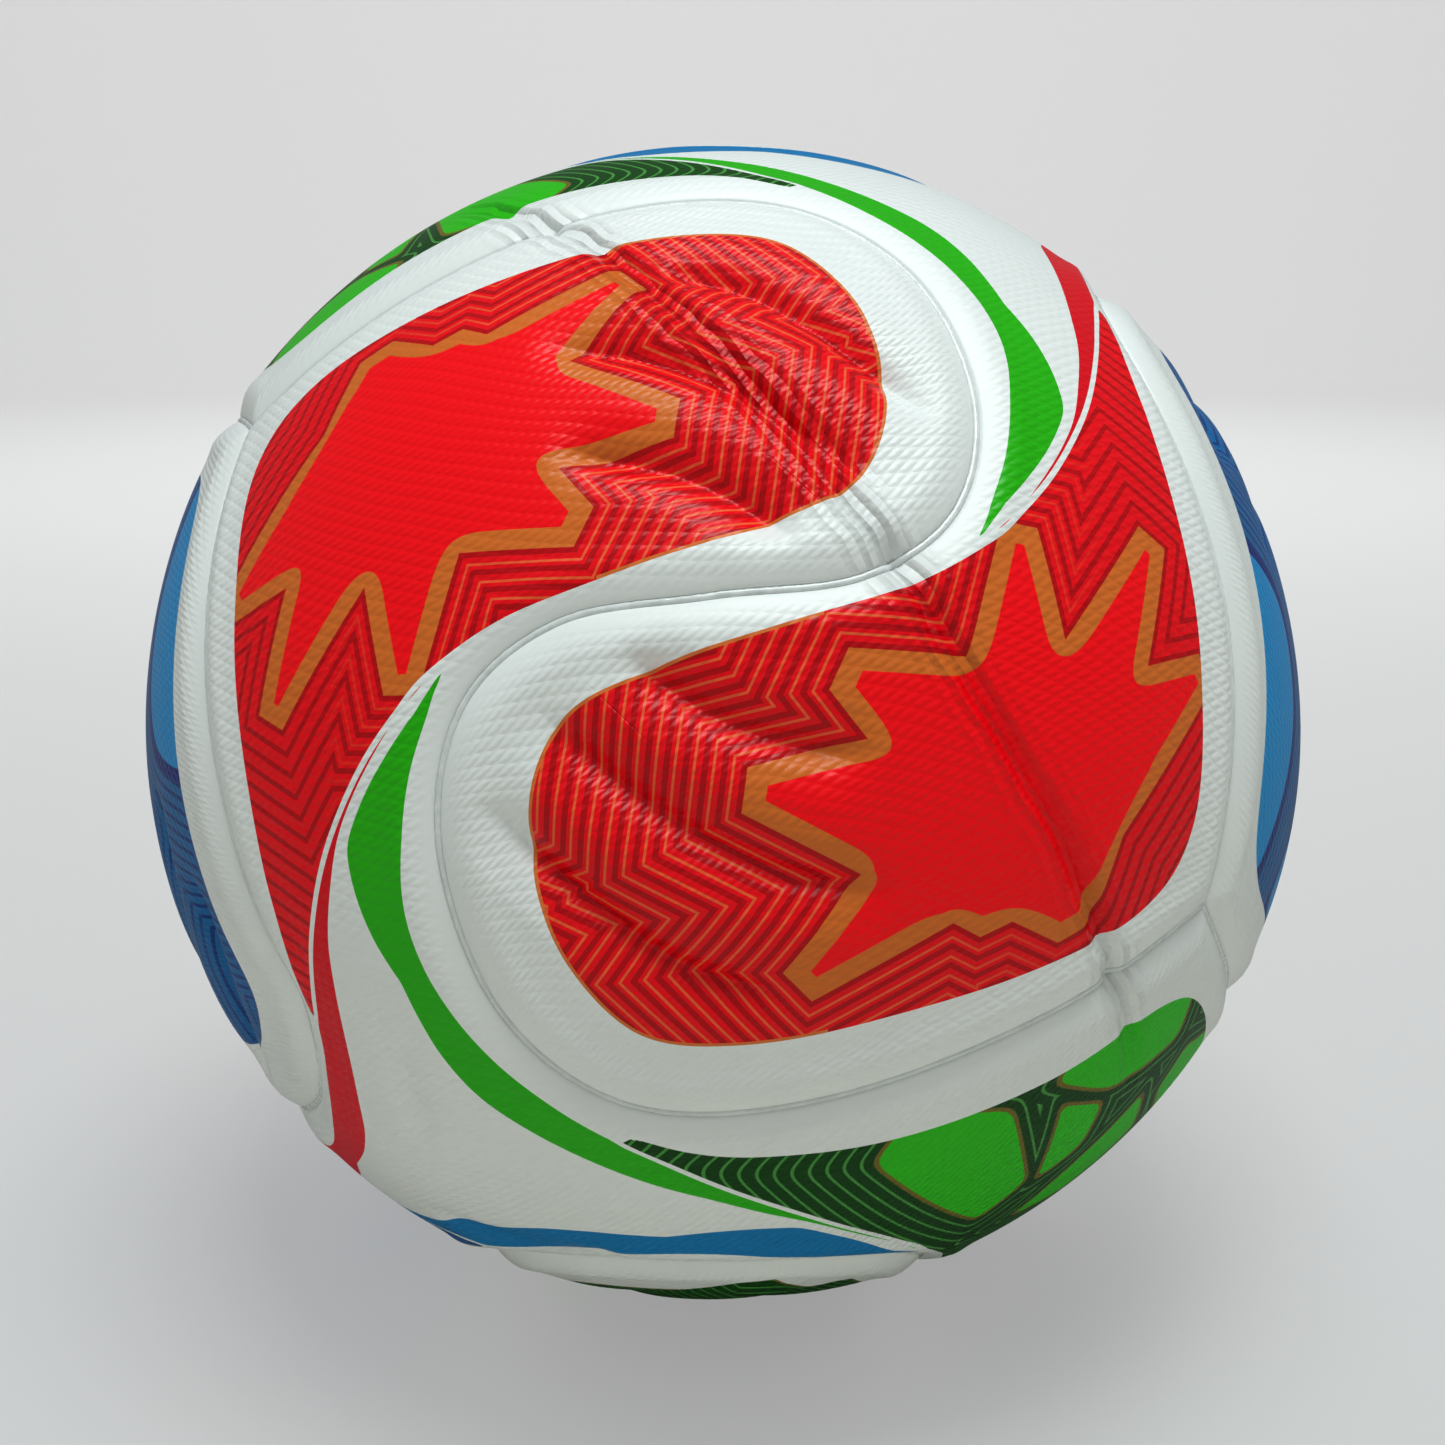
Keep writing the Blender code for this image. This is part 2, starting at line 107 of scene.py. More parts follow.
def mottled(name, pattern, settings, dark, light, relief, **fixed):
    # a material with one tone, uneven after a pattern in the piece's own axes, and a relief in metres
    material, tree, shader = newMaterial(name, **fixed)
    place = addNode(tree, "TexCoord", output="Object")
    marks = addNode(tree, pattern, {0: place, **settings})
    tone = addNode(tree, "Mix", {0: marks, 6: colour(dark), 7: colour(light)}, 2, data_type="RGBA")
    bump = addNode(tree, "Bump", {"Height": marks, "Distance": relief, "Strength": 1.0})
    tree.links.new(tone, shader.inputs["Base Color"])
    tree.links.new(bump, shader.inputs["Normal"])
    return material


def unit(vectors):
    return vectors / np.linalg.norm(vectors, axis=-1, keepdims=True)


def smoothCurve(points, steps, closed=False):
    # a Catmull-Rom curve through given points
    points = np.array(points, float)
    if closed:
        padded = np.vstack([points[-1:], points, points[:2]])
    else:
        padded = np.vstack([2 * points[0] - points[1], points, 2 * points[-1] - points[-2]])
    before, start, end, after = padded[:-3], padded[1:-2], padded[2:-1], padded[3:]
    t = np.linspace(0, 1, steps, endpoint=False)[None, :, None]
    before, start, end, after = (p[:, None, :] for p in (before, start, end, after))
    curve = 0.5 * (
        2 * start
        + (end - before) * t
        + (2 * before - 5 * start + 4 * end - after) * t**2
        + (3 * start - before - 3 * end + after) * t**3
    )
    curve = curve.reshape(-1, points.shape[1])
    return curve if closed else np.vstack([curve, points[-1:]])


def evenSteps(curve, count, closed=False):
    # the same curve with points at equal lengths along it
    if closed:
        curve = np.vstack([curve, curve[:1]])
    lengths = np.r_[0, np.cumsum(np.linalg.norm(np.diff(curve, axis=0), axis=1))]
    wanted = np.linspace(0, lengths[-1], count + 1)
    if closed:
        wanted = wanted[:-1]
    return np.stack([np.interp(wanted, lengths, axis) for axis in curve.T], axis=1)


def flatten(directions, middle, ahead):
    # degrees from a middle direction, laid flat; ahead is the flat X
    ahead = unit(ahead - middle * (ahead @ middle))
    aside = np.cross(middle, ahead)
    angle = np.degrees(np.arccos(np.clip(directions @ middle, -1, 1)))
    across = np.stack([directions @ ahead, directions @ aside], axis=1)
    return across * (angle / np.maximum(np.linalg.norm(across, axis=1), 1e-12))[:, None]


def raiseFlat(points, middle, ahead):
    # the way back from flatten
    ahead = unit(ahead - middle * (ahead @ middle))
    aside = np.cross(middle, ahead)
    angle = np.radians(np.linalg.norm(points, axis=1))
    across = points / np.maximum(np.linalg.norm(points, axis=1), 1e-12)[:, None]
    side = across[:, :1] * ahead + across[:, 1:] * aside
    return middle * np.cos(angle)[:, None] + side * np.sin(angle)[:, None]


def insideFlat(points, outline):
    inside = np.zeros(len(points), bool)
    for start, end in zip(outline, np.roll(outline, -1, axis=0)):
        if start[1] == end[1]:
            continue
        crosses = (start[1] > points[:, 1]) != (end[1] > points[:, 1])
        slope = (end[0] - start[0]) / (end[1] - start[1])
        inside ^= crosses & (points[:, 0] < start[0] + (points[:, 1] - start[1]) * slope)
    return inside


def nearest(directions, samples):
    # the index of each direction's nearest sample
    found = np.empty(len(directions), int)
    for start in range(0, len(directions), batch):
        found[start:start + batch] = (directions[start:start + batch] @ samples.T).argmax(axis=1)
    return found


def gapTo(directions, samples, closed=True):
    # millimetres over the cover from each direction to a line of samples
    index = nearest(directions, samples)
    last = len(samples) - 1
    if closed:
        ahead, behind = samples[(index + 1) % len(samples)], samples[index - 1]
    else:
        ahead, behind = samples[np.minimum(index + 1, last)], samples[np.maximum(index - 1, 0)]
    offset = directions - samples[index]
    along = (offset * unit(ahead - behind)).sum(axis=1)
    reach = np.linalg.norm(ahead - behind, axis=1) / 2
    along = np.clip(along, -reach, reach)
    away = np.linalg.norm(offset - unit(ahead - behind) * along[:, None], axis=1)
    return away * ball["radius"] * 1000


def coordinates(mesh):
    found = np.empty(len(mesh.vertices) * 3, np.float32)
    mesh.vertices.foreach_get("co", found)
    return found.reshape(-1, 3).astype(float)


def setCoordinates(mesh, points):
    mesh.vertices.foreach_set("co", np.asarray(points, np.float32).ravel())
    mesh.update()


def setAttribute(mesh, name, values, kind="FLOAT"):
    attribute = mesh.attributes.get(name) or mesh.attributes.new(name, kind, "POINT")
    key = "vector" if kind == "FLOAT_VECTOR" else "value"
    attribute.data.foreach_set(key, np.asarray(values, np.float32).ravel())


def getAttribute(mesh, name):
    values = np.empty(len(mesh.vertices), np.float32)
    mesh.attributes[name].data.foreach_get("value", values)
    return values.astype(float)


def deselectAll():
    if bpy.context.mode != "OBJECT":
        bpy.ops.object.mode_set(mode="OBJECT")
    bpy.ops.object.select_all(action="DESELECT")


def makeActive(obj):
    deselectAll()
    obj.select_set(True)
    bpy.context.view_layer.objects.active = obj


def editSelected(obj, kind, mask, *operators):
    # selects some vertices, edges or faces by their place, and runs edit-mode operators
    makeActive(obj)
    kinds = ("vertices", "edges", "polygons")
    for name in kinds:
        items = getattr(obj.data, name)
        chosen = mask if name == kind else np.zeros(len(items), bool)
        items.foreach_set("select", chosen)
    bpy.context.tool_settings.mesh_select_mode = [name == kind for name in kinds]
    bpy.ops.object.mode_set(mode="EDIT")
    for operator, options in operators:
        operator(**options)
    bpy.ops.object.mode_set(mode="OBJECT")


def faceEdges(mesh):
    # the edge of each face corner
    edgeOf = np.empty(len(mesh.loops), np.int32)
    mesh.loops.foreach_get("edge_index", edgeOf)
    return edgeOf


def openEdges(mesh):
    # edges that have a face on one side only
    return np.bincount(faceEdges(mesh), minlength=len(mesh.edges)) == 1


def openPerFace(mesh):
    # how many open edges each face has
    starts = np.empty(len(mesh.polygons), np.int32)
    mesh.polygons.foreach_get("loop_start", starts)
    return np.add.reduceat(openEdges(mesh)[faceEdges(mesh)].astype(int), starts)


def chosenVertices(mesh):
    # what the last operator left selected
    chosen = np.zeros(len(mesh.vertices), bool)
    mesh.vertices.foreach_get("select", chosen)
    return np.flatnonzero(chosen)


def extrudeOpen(obj):
    # a new row of faces along the open edges; gives back its vertices
    editSelected(obj, "edges", openEdges(obj.data), (bpy.ops.mesh.extrude_edges_indiv, {}))
    return chosenVertices(obj.data)


def edgeEnds(mesh):
    ends = np.empty(len(mesh.edges) * 2, np.int32)
    mesh.edges.foreach_get("vertices", ends)
    return ends.reshape(-1, 2)


def applyModifiers(obj):
    makeActive(obj)
    for modifier in list(obj.modifiers):
        bpy.ops.object.modifier_apply(modifier=modifier.name)


# the lines on the ball, in its own axes

# half a seam, from its middle to a corner, in degrees along and across the line between
# its two corners; the other half is this one turned half round
seam = {
    "half": [(0, 0), (-9.5, -6.8), (-13.5, -16), (-10.2, -27), (0, -37), (13, -39.2),
             (27, -31.4), (41, -17), (54.7356, 0)],
    "samples": 720,
}
# a panel's three lobes, as (degrees from the panel's middle, turn from the seam's middle)
lobe = {
    "outline": [(16.1, 78), (17.6, 74), (19.9, 68), (23.2, 62.7), (27.3, 59.4), (35.9, 56.2),
                (50.1, 55), (63, 54), (69.5, 48), (75.2, 36), (81.5, 24), (85.6, 16),
                (87.2, 9.5), (84.5, 3), (79.4, -2.6), (73.4, -5.6), (67.4, -5.9), (61, -1),
                (54.5, 7), (48.3, 17), (43, 24.8), (39.6, 28.9), (35.8, 33.5), (31.2, 39.2),
                (27.2, 44.9), (22.3, 53.8), (18.6, 64.5), (16.8, 72.5)],
    "samples": 900,
}
# the coloured band that starts at each lobe and sweeps round the panel's middle
swoosh = {
    "inner": [(43.2, 23.1), (39.4, 24.4), (35.2, 25.8), (30.5, 26.4), (25, 26.1), (20.7, 22.6),
              (17, 14), (14.2, -3), (13.9, -26), (15.2, -40.2), (17.3, -50.5), (21.2, -61),
              (27.2, -70.9), (34, -80), (40, -88), (46.5, -96)],
    "outer": [(46.5, -96), (42.4, -95), (39.5, -91.8), (35.9, -88), (32.8, -84.5), (29.7, -81),
              (25.7, -77), (21.7, -72), (17.6, -66), (13.1, -53), (9.8, -25), (9.9, 0),
              (12.3, 17), (15.2, 24.5), (18.4, 29)],
    "hook": [(18.4, 29), (20.1, 32.2), (22.1, 34.8), (24.6, 36.6), (27, 37.3), (29.1, 37.1),
             (31.2, 35.2), (34, 32.2), (36.8, 29), (39.6, 26), (43.2, 23.2)],
    "samples": 1200,
}


def fromPolar(pairs):
    pairs = np.array(pairs, float)
    turn = np.radians(pairs[:, 1])
    return np.stack([pairs[:, 0] * np.cos(turn), pairs[:, 0] * np.sin(turn)], axis=1)


def seamLine():
    # from corner (1, 1, -1) round the middle (1, 0, 0) to corner (1, -1, 1)
    half = smoothCurve(seam["half"], 40)
    whole = evenSteps(np.vstack([-half[:0:-1], half]), seam["samples"])[::-1]
    return raiseFlat(whole, np.array([1.0, 0, 0]), np.array([0, 1.0, -1]))


def panelOutline():
    line = seamLine()[:-1]
    return np.vstack([line, line @ thirdTurn, line @ thirdTurn.T])


def onPanel(flat, count):
    even = evenSteps(flat, count, closed=True)
    return even, raiseFlat(even, panelCentre, panelAhead)


def lobeOutline():
    flat = smoothCurve(fromPolar(lobe["outline"]), 24)
    return onPanel(np.vstack([flat, fromPolar(lobe["outline"][:1])]), lobe["samples"])


def swooshOutline():
    parts = [smoothCurve(fromPolar(swoosh[key]), 24)[:-1] for key in ("inner", "outer", "hook")]
    return onPanel(np.vstack(parts), swoosh["samples"])


def signedGap(directions, outline, turn):
    # mm from one of the three like outlines of a panel, negative inside it
    flat, raised = outline
    turned = directions @ turn
    away = gapTo(turned, raised)
    inside = insideFlat(flatten(turned, panelCentre, panelAhead), flat[::3])
    return np.where(inside, -away, away)


# the cover panels

cover = {
    "subdivisions": 8,
    "trim": 0.45,
    "below": 0,
    "lowest": -3.3,
    "wall": 0.0009,
    # strips along the edge: mm from the seam's middle, and how far the edge is turned in
    "rows": [(6.0, 0), (4.6, 0), (3.5, 0), (2.6, 0), (1.9, 0), (1.35, 0), (0.9, 0),
             (0.6, 0.05), (0.46, 0.5), (0.42, 1.5)],
    "seamDepth": 1.8,  # mm, how the surface falls towards the seam
    "seamFall": 2.2,
    "rollHeight": 0.55,  # the soft roll beside it
    "rollPlace": 5.6,
    "rollWidth": 2.6,
    "cornerSpan": 20,
    "cornerSearch": (0, 110, 1101),  # samples from a corner, and how finely they are tried
    "holeRows": [(5.2, 0), (4.6, 0.0), (4.2, 0.08), (3.95, 0.30), (3.9, 0.9)],
}
# the foam under it follows its hollows on the outside and is round on the inside
foam = {
    "subdivisions": 7,
    "trim": 0.7,
    "below": 1.45,
    "wall": 0.003,
    "inside": 4.55,
    "lowest": -2.85,
    "rows": [(6.0, 0), (4.8, 0), (3.6, 0)],
    "holeRows": [(7.0, 0), (5.6, 0), (4.4, 0)],
}
# long hollows pressed into each lobe's round end, in degrees from the seam's middle
channel = {
    "lines": [
        [(-17, 4.6), (-12.9, 6.2), (-8.2, 7.4), (-3.6, 7.7), (1.3, 7.1), (4.4, 6.0)],
        [(-23.5, 12.2), (-20.3, 14.1), (-15, 15.8), (-9.5, 16.3), (-4.4, 16.0), (0.8, 15.2),
         (5, 14), (8.6, 12.8)],
        [(-20.8, 23.6), (-15.2, 25.4), (-9.9, 25.9), (-4, 25.0), (2, 23.5), (5.5, 22.3),
         (9.6, 20.9)],
    ],
    "depth": 2.9,
    "width": 2.5,
    "bottom": 0.9,  # how round its bottom is
    "reach": 7.4,
    "span": 36,  # degrees from the seam's middle that hold all of them
    "samples": 120,
    "startTaper": 0.24,
    "endTaper": 0.2,
    "sideTaper": 2.0,
}
# the crease where the flat ball was folded in its box
fold = {
    "normal": (-0.225, 0.920, 0.320),
    "depth": 1.5,
    "width": 1.6,
    "reach": 62,  # degrees either way
    "ease": 12,
    "wander": 0.9,
    "slowWave": (0.07, 0.4, 1.0),  # radians per degree, phase and share of the wander
    "fastWave": (0.3, 2, 0.3),
    "seamShare": 0.2,  # how much deeper it is at a seam, and within how many mm
    "seamReach": 9,
}


def modelPanel(layer):
    print("modelling one panel with", len(layer["rows"]), "edge rows")
    deselectAll()
    bpy.ops.mesh.primitive_ico_sphere_add(
        subdivisions=layer["subdivisions"], radius=ball["radius"], location=(0, 0, 0)
    )
    panel = bpy.context.object
    panel.name = "panel"
    mesh = panel.data
    outline = panelOutline()
    flatOutline = flatten(outline, panelCentre, panelAhead)
    band = layer["rows"][0][0]
    directions = unit(coordinates(mesh))
    inside = insideFlat(flatten(directions, panelCentre, panelAhead), flatOutline[::6])
    keep = inside & (gapTo(directions, outline) > band - layer["trim"])
    editSelected(panel, "vertices", ~keep, (bpy.ops.mesh.delete, {"type": "VERT"}))
    while True:
        ends = edgeEnds(mesh)[openEdges(mesh)]
        crossings = np.bincount(ends.ravel(), minlength=len(mesh.vertices)) > 2
        loose = openPerFace(mesh) > 1
        if crossings.any():
            editSelected(panel, "vertices", crossings, (bpy.ops.mesh.delete, {"type": "VERT"}))
        elif loose.any():
            editSelected(panel, "polygons", loose, (bpy.ops.mesh.delete, {"type": "FACE"}))
        else:
            break
    addEdgeRows(panel, outline, layer["rows"])
    return panel, outline


def sidePoint(line, normals, at, distance):
    # points at a distance inwards from one seam, for places counted in its samples
    low = np.clip(np.floor(at).astype(int), 0, len(line) - 2)
    share = (at - low)[:, None]
    here = unit(line[low] * (1 - share) + line[low + 1] * share)
    side = unit(normals[low] * (1 - share) + normals[low + 1] * share)
    angle = distance / 1000 / ball["radius"]
    return here * math.cos(angle) + side * math.sin(angle)


def cornerReach(line, normals, distance):
    # how far past a corner the edge row starts, along the seam that leaves it and the one
    # that comes to it, in samples; the row's two sides meet there
    found = []
    count = len(line) - 1
    for arriving in (False, True):
        at = np.linspace(*cover["cornerSearch"])
        at = count - at if arriving else at
        row = sidePoint(line, normals, at, distance)
        other = line @ thirdTurn if arriving else line @ thirdTurn.T
        away = gapTo(row, other, closed=False)
        clear = np.flatnonzero(away >= distance)
        first = clear[0] if len(clear) else 0
        found.append(abs(at[first] - at[0]))
    return found


def addEdgeRows(panel, outline, edgeRows):
    # the cut edge is moved on to its line, then extruded in rows towards the seam
    mesh = panel.data
    count = seam["samples"]
    line = outline[:count + 1]
    turns = [np.eye(3), thirdTurn, thirdTurn.T]
    normals = unit(np.cross(line, np.gradient(line, axis=0)))
    if (normals * panelCentre).sum(axis=1).mean() < 0:
        normals = -normals
    step = np.linalg.norm(line[1] - line[0]) * ball["radius"] * 1000
    span = cover["cornerSpan"] / step
    ring = np.unique(edgeEnds(mesh)[openEdges(mesh)])
    directions = unit(coordinates(mesh)[ring])
    foot = nearest(directions, outline)
    number = np.floor(foot / count + 0.5).astype(int)
    ahead = outline[(foot + 1) % len(outline)] - outline[foot - 1]
    along = ((directions - outline[foot]) * unit(ahead)).sum(axis=1) * ball["radius"] * 1000 / step
    fromCorner = foot + along - number * count
    arriving = fromCorner < 0
    away = np.abs(fromCorner)
    side = np.where(arriving, number - 1, number) % 3
    firstReach = cornerReach(line, normals, edgeRows[0][0])
    first = np.where(arriving, firstReach[1], firstReach[0])
    corner = away <= first + 0.5
    # three ring points stand exactly at the corners
    for i in range(3):
        meeting = sidePoint(line, normals, np.array([firstReach[0]]), edgeRows[0][0]) @ turns[i]
        corner[nearest(meeting, directions)[0]] = True
    number = number % 3

    def placed(which, distance):
        reach = cornerReach(line, normals, distance)
        own = np.where(arriving[which], reach[1], reach[0])
        start = first[which]
        far = away[which]
        far = np.where(far < span, own + (far - start) * (span - own) / (span - start), far)
        at = np.where(arriving[which], count - far, far)
        rows = sidePoint(line, normals, at, distance)
        meeting = sidePoint(line, normals, np.array([float(reach[0])]), distance)
        for i in range(3):
            mine = side[which] == i
            rows[mine] = rows[mine] @ turns[i]
            rows[corner[which] & (number[which] == i)] = meeting @ turns[i]
        return rows

    points = coordinates(mesh)
    which = np.arange(len(ring))
    points[ring] = placed(which, edgeRows[0][0]) * ball["radius"]
    setCoordinates(mesh, points)
    keys = {point.tobytes(): i for i, point in zip(which, coordinates(mesh)[ring])}
    inRing = np.zeros(len(mesh.vertices), bool)
    inRing[ring] = True
    editSelected(panel, "vertices", inRing, (bpy.ops.mesh.remove_doubles, {"threshold": 1e-6}))
    setAttribute(mesh, "drop", np.zeros(len(mesh.vertices)))
    for distance, turnedIn in edgeRows[1:]:
        current = extrudeOpen(panel)
        points = coordinates(mesh)
        which = np.array([keys[point.tobytes()] for point in points[current]])
        points[current] = placed(which, distance) * ball["radius"]
        setCoordinates(mesh, points)
        keys = {point.tobytes(): i for i, point in zip(which, coordinates(mesh)[current])}
        drop = getAttribute(mesh, "drop")
        drop[current] = turnedIn
        setAttribute(mesh, "drop", drop)


def markPrint(panel, outline):
    # what the materials read: distances to the printed shapes, and places on the panel
    mesh = panel.data
    directions = unit(coordinates(mesh))
    turns = [np.eye(3), thirdTurn, thirdTurn @ thirdTurn]  # red, blue and green arms
    lobeLine, swooshLine = lobeOutline(), swooshOutline()
    lobes = np.stack([signedGap(directions, lobeLine, turn) for turn in turns])
    swooshes = np.stack([signedGap(directions, swooshLine, turn) for turn in turns])
    arm = lobes.argmin(axis=0)
    places = np.stack([lobePlace(directions @ turn) for turn in turns])
    own = places[arm, np.arange(len(arm))]
    setAttribute(mesh, "lobeEdge", lobes.min(axis=0))
    for name, number in (("greenSwoosh", 0), ("redSwoosh", 1), ("blueSwoosh", 2)):
        setAttribute(mesh, name, swooshes[number])
    setAttribute(mesh, "lobePlace", np.c_[own, np.ones(len(own))], "FLOAT_VECTOR")
    flat = flatten(directions, panelCentre, panelAhead) * perDegree
    setAttribute(mesh, "panelPlace", np.c_[flat, np.zeros(len(flat))], "FLOAT_VECTOR")
    middles = np.empty(len(mesh.polygons) * 3, np.float32)
    mesh.polygons.foreach_get("center", middles)
    middles = unit(middles.reshape(-1, 3).astype(float))
    faceLobes = np.stack([signedGap(middles, lobeLine, turn) for turn in turns])
    mesh.polygons.foreach_set("material_index", faceLobes.argmin(axis=0).astype(np.int32))


def lobePlace(directions):
    # mm along and across the line between the seam's corners, from the seam's middle
    flat = flatten(directions, np.array([1.0, 0, 0]), np.array([0, 1.0, -1]))
    return -flat * perDegree


def channelPlace(directions):
    # mm to the nearest hollow's bottom line, signed by its side, and how deep it is there
    aside = np.zeros(len(directions))
    share = np.zeros(len(directions))
    for turn in (np.eye(3), thirdTurn, thirdTurn @ thirdTurn):
        turned = directions @ turn
        close = np.flatnonzero(turned[:, 0] > math.cos(math.radians(channel["span"])))
        place = lobePlace(turned[close])
        for line in channel["lines"]:
            curve = evenSteps(smoothCurve(np.array(line) * perDegree, 12), channel["samples"])
            index = np.empty(len(place), int)
            for start in range(0, len(place), batch):
                part = place[start:start + batch, None, :] - curve[None]
                index[start:start + batch] = (part**2).sum(axis=2).argmin(axis=1)
            tangent = unit(np.gradient(curve, axis=0))[index]
            offset = place - curve[index]
            side = tangent[:, 0] * offset[:, 1] - tangent[:, 1] * offset[:, 0]
            away = np.linalg.norm(offset, axis=1)
            along = index / channel["samples"]
            taper = np.clip(along / channel["startTaper"], 0, 1)
            taper *= np.clip((1 - along) / channel["endTaper"], 0, 1)
            taper = taper * taper * (3 - 2 * taper)
            taper = taper * np.clip((channel["reach"] - away) / channel["sideTaper"], 0, 1)
            chosen = taper > share[close]
            aside[close[chosen]] = (np.sign(side) * away)[chosen]
            share[close[chosen]] = taper[chosen]
    return aside, share


def foldPlace(directions, gap):
    # mm to the crease's middle, and how strong it is there
    normal = unit(np.array(fold["normal"]))
    front = unit(np.array([1.0, 0, 0]) - normal * normal[0])
    aside = np.degrees(np.arcsin(np.clip(directions @ normal, -1, 1))) * perDegree
    along = np.degrees(np.arctan2(directions @ np.cross(normal, front), directions @ front))
    for pace, phase, part in (fold["slowWave"], fold["fastWave"]):
        aside += fold["wander"] * part * np.sin(along * pace + phase)
    share = np.clip((fold["reach"] - np.abs(along)) / fold["ease"], 0, 1) * ((directions @ front) > 0)
    atSeam = fold["seamShare"] * np.exp(-((gap / fold["seamReach"]) ** 2))
    return aside, share * (1 - fold["seamShare"] + atSeam)


def unevenRelief(directions):
    # a soft ball is never quite round: a few long waves, the same each run
    draw = np.random.default_rng(ball["seed"])
    relief = np.zeros(len(directions))
    fewest, more = ball["waveCounts"]
    least, lowering = ball["waveEvening"]
    for wave in range(ball["waves"]):
        axis = unit(draw.normal(size=3))
        count = fewest + more * draw.random()
        phase = 6.28 * draw.random()  # about one whole turn
        relief += np.sin(directions @ axis * count + phase) / (least + count / lowering)
    relief *= ball["unevenness"] * 1000 / math.sqrt(ball["waves"])
    for start, end, depth, width in ball["dents"]:
        start, line = np.array(start), np.array(end) - np.array(start)
        along = np.clip((directions - start) @ line / (line @ line), 0, 1)
        away = np.linalg.norm(directions - start - along[:, None] * line, axis=1)
        relief -= depth * np.exp(-((away * ball["radius"] * 1000 / width) ** 2))
    return relief


def seamRelief(gap):
    fall = -cover["seamDepth"] * np.exp(-gap / cover["seamFall"])
    roll = cover["rollHeight"] * np.exp(-(((gap - cover["rollPlace"]) / cover["rollWidth"]) ** 2))
    return fall + roll


def placePanel(panel, turn, layer):
    # turns the panel into its place and gives its surface its relief
    mesh = panel.data
    own = unit(coordinates(mesh))
    gap = gapTo(own, panelOutline())
    inBall = own @ turn.T
    aside, share = channelPlace(own)
    foldAside, foldShare = foldPlace(inBall, gap)
    relief = seamRelief(gap) + unevenRelief(inBall) - getAttribute(mesh, "drop")
    slope = np.sqrt(aside**2 + channel["bottom"] ** 2) - channel["bottom"]
    relief -= channel["depth"] * share * np.exp(-slope / channel["width"])
    relief -= fold["depth"] * foldShare * np.exp(-((foldAside / fold["width"]) ** 2))
    relief = np.maximum(relief, layer["lowest"]) - layer["below"]
    if layer is cover:
        hollow = np.stack([aside, share, np.zeros(len(share))], axis=1)
        setAttribute(mesh, "hollow", hollow, "FLOAT_VECTOR")
        setAttribute(mesh, "crease", np.stack([foldAside, foldShare, gap], axis=1), "FLOAT_VECTOR")
    directions = inBall @ ballTurn.T
    points = directions * (ball["radius"] + relief / 1000)[:, None]
    floor = layer["below"] / 1000 - centre[2]
    height = points[:, 2] - floor
    points[:, 2] = floor + (height + np.sqrt(height**2 + footBlend**2)) / 2
    setCoordinates(mesh, points + centre)
    return directions


# how much of the round is cut away, in mm, and how near its edges are looked for, in radians
holeCut = {"trim": 0.35, "reach": 0.12}


def openValveHole(panel, axis, holeRows):
    # the round hole for the valve, with a rolled edge
    mesh = panel.data
    radius = ball["radius"] * 1000
    directions = unit(coordinates(mesh))
    first = holeRows[0][0]
    keep = np.degrees(np.arccos(np.clip(directions @ axis, -1, 1))) * perDegree > first - holeCut["trim"]
    editSelected(panel, "vertices", ~keep, (bpy.ops.mesh.delete, {"type": "VERT"}))
    for distance, turnedIn in holeRows:
        middles = unit(coordinates(mesh)[edgeEnds(mesh)].mean(axis=1))
        isOpen = openEdges(mesh) & (middles @ axis > math.cos(holeCut["reach"]))
        if distance != first:
            editSelected(panel, "edges", isOpen, (bpy.ops.mesh.extrude_edges_indiv, {}))
            ring = chosenVertices(mesh)
        else:
            ring = np.unique(edgeEnds(mesh)[isOpen])
        points = coordinates(mesh)
        side = unit(unit(points[ring]) - axis * (unit(points[ring]) @ axis)[:, None])
        angle = distance / radius
        points[ring] = (axis * math.cos(angle) + side * math.sin(angle)) * ball["radius"]
        setCoordinates(mesh, points)
        drop = getAttribute(mesh, "drop")
        drop[ring] = turnedIn
        setAttribute(mesh, "drop", drop)


def thicken(panel, wall):
    solidify = panel.modifiers.new("wall", "SOLIDIFY")
    solidify.thickness = wall
    solidify.offset = -1
    solidify.use_rim = True
    solidify.material_offset = 3  # the inner wall's material is three slots past the outer one's
    solidify.material_offset_rim = 0
    applyModifiers(panel)
    makeActive(panel)
    bpy.ops.object.shade_smooth()


def declare(piece, name, node):
    piece.name = name
    piece.data.name = name
    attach(piece, "root")
    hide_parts(node)


def valveAxis():
    low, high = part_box("valve_core")
    return unit(np.array((low + high) / 2) - centre)


# printed polyurethane

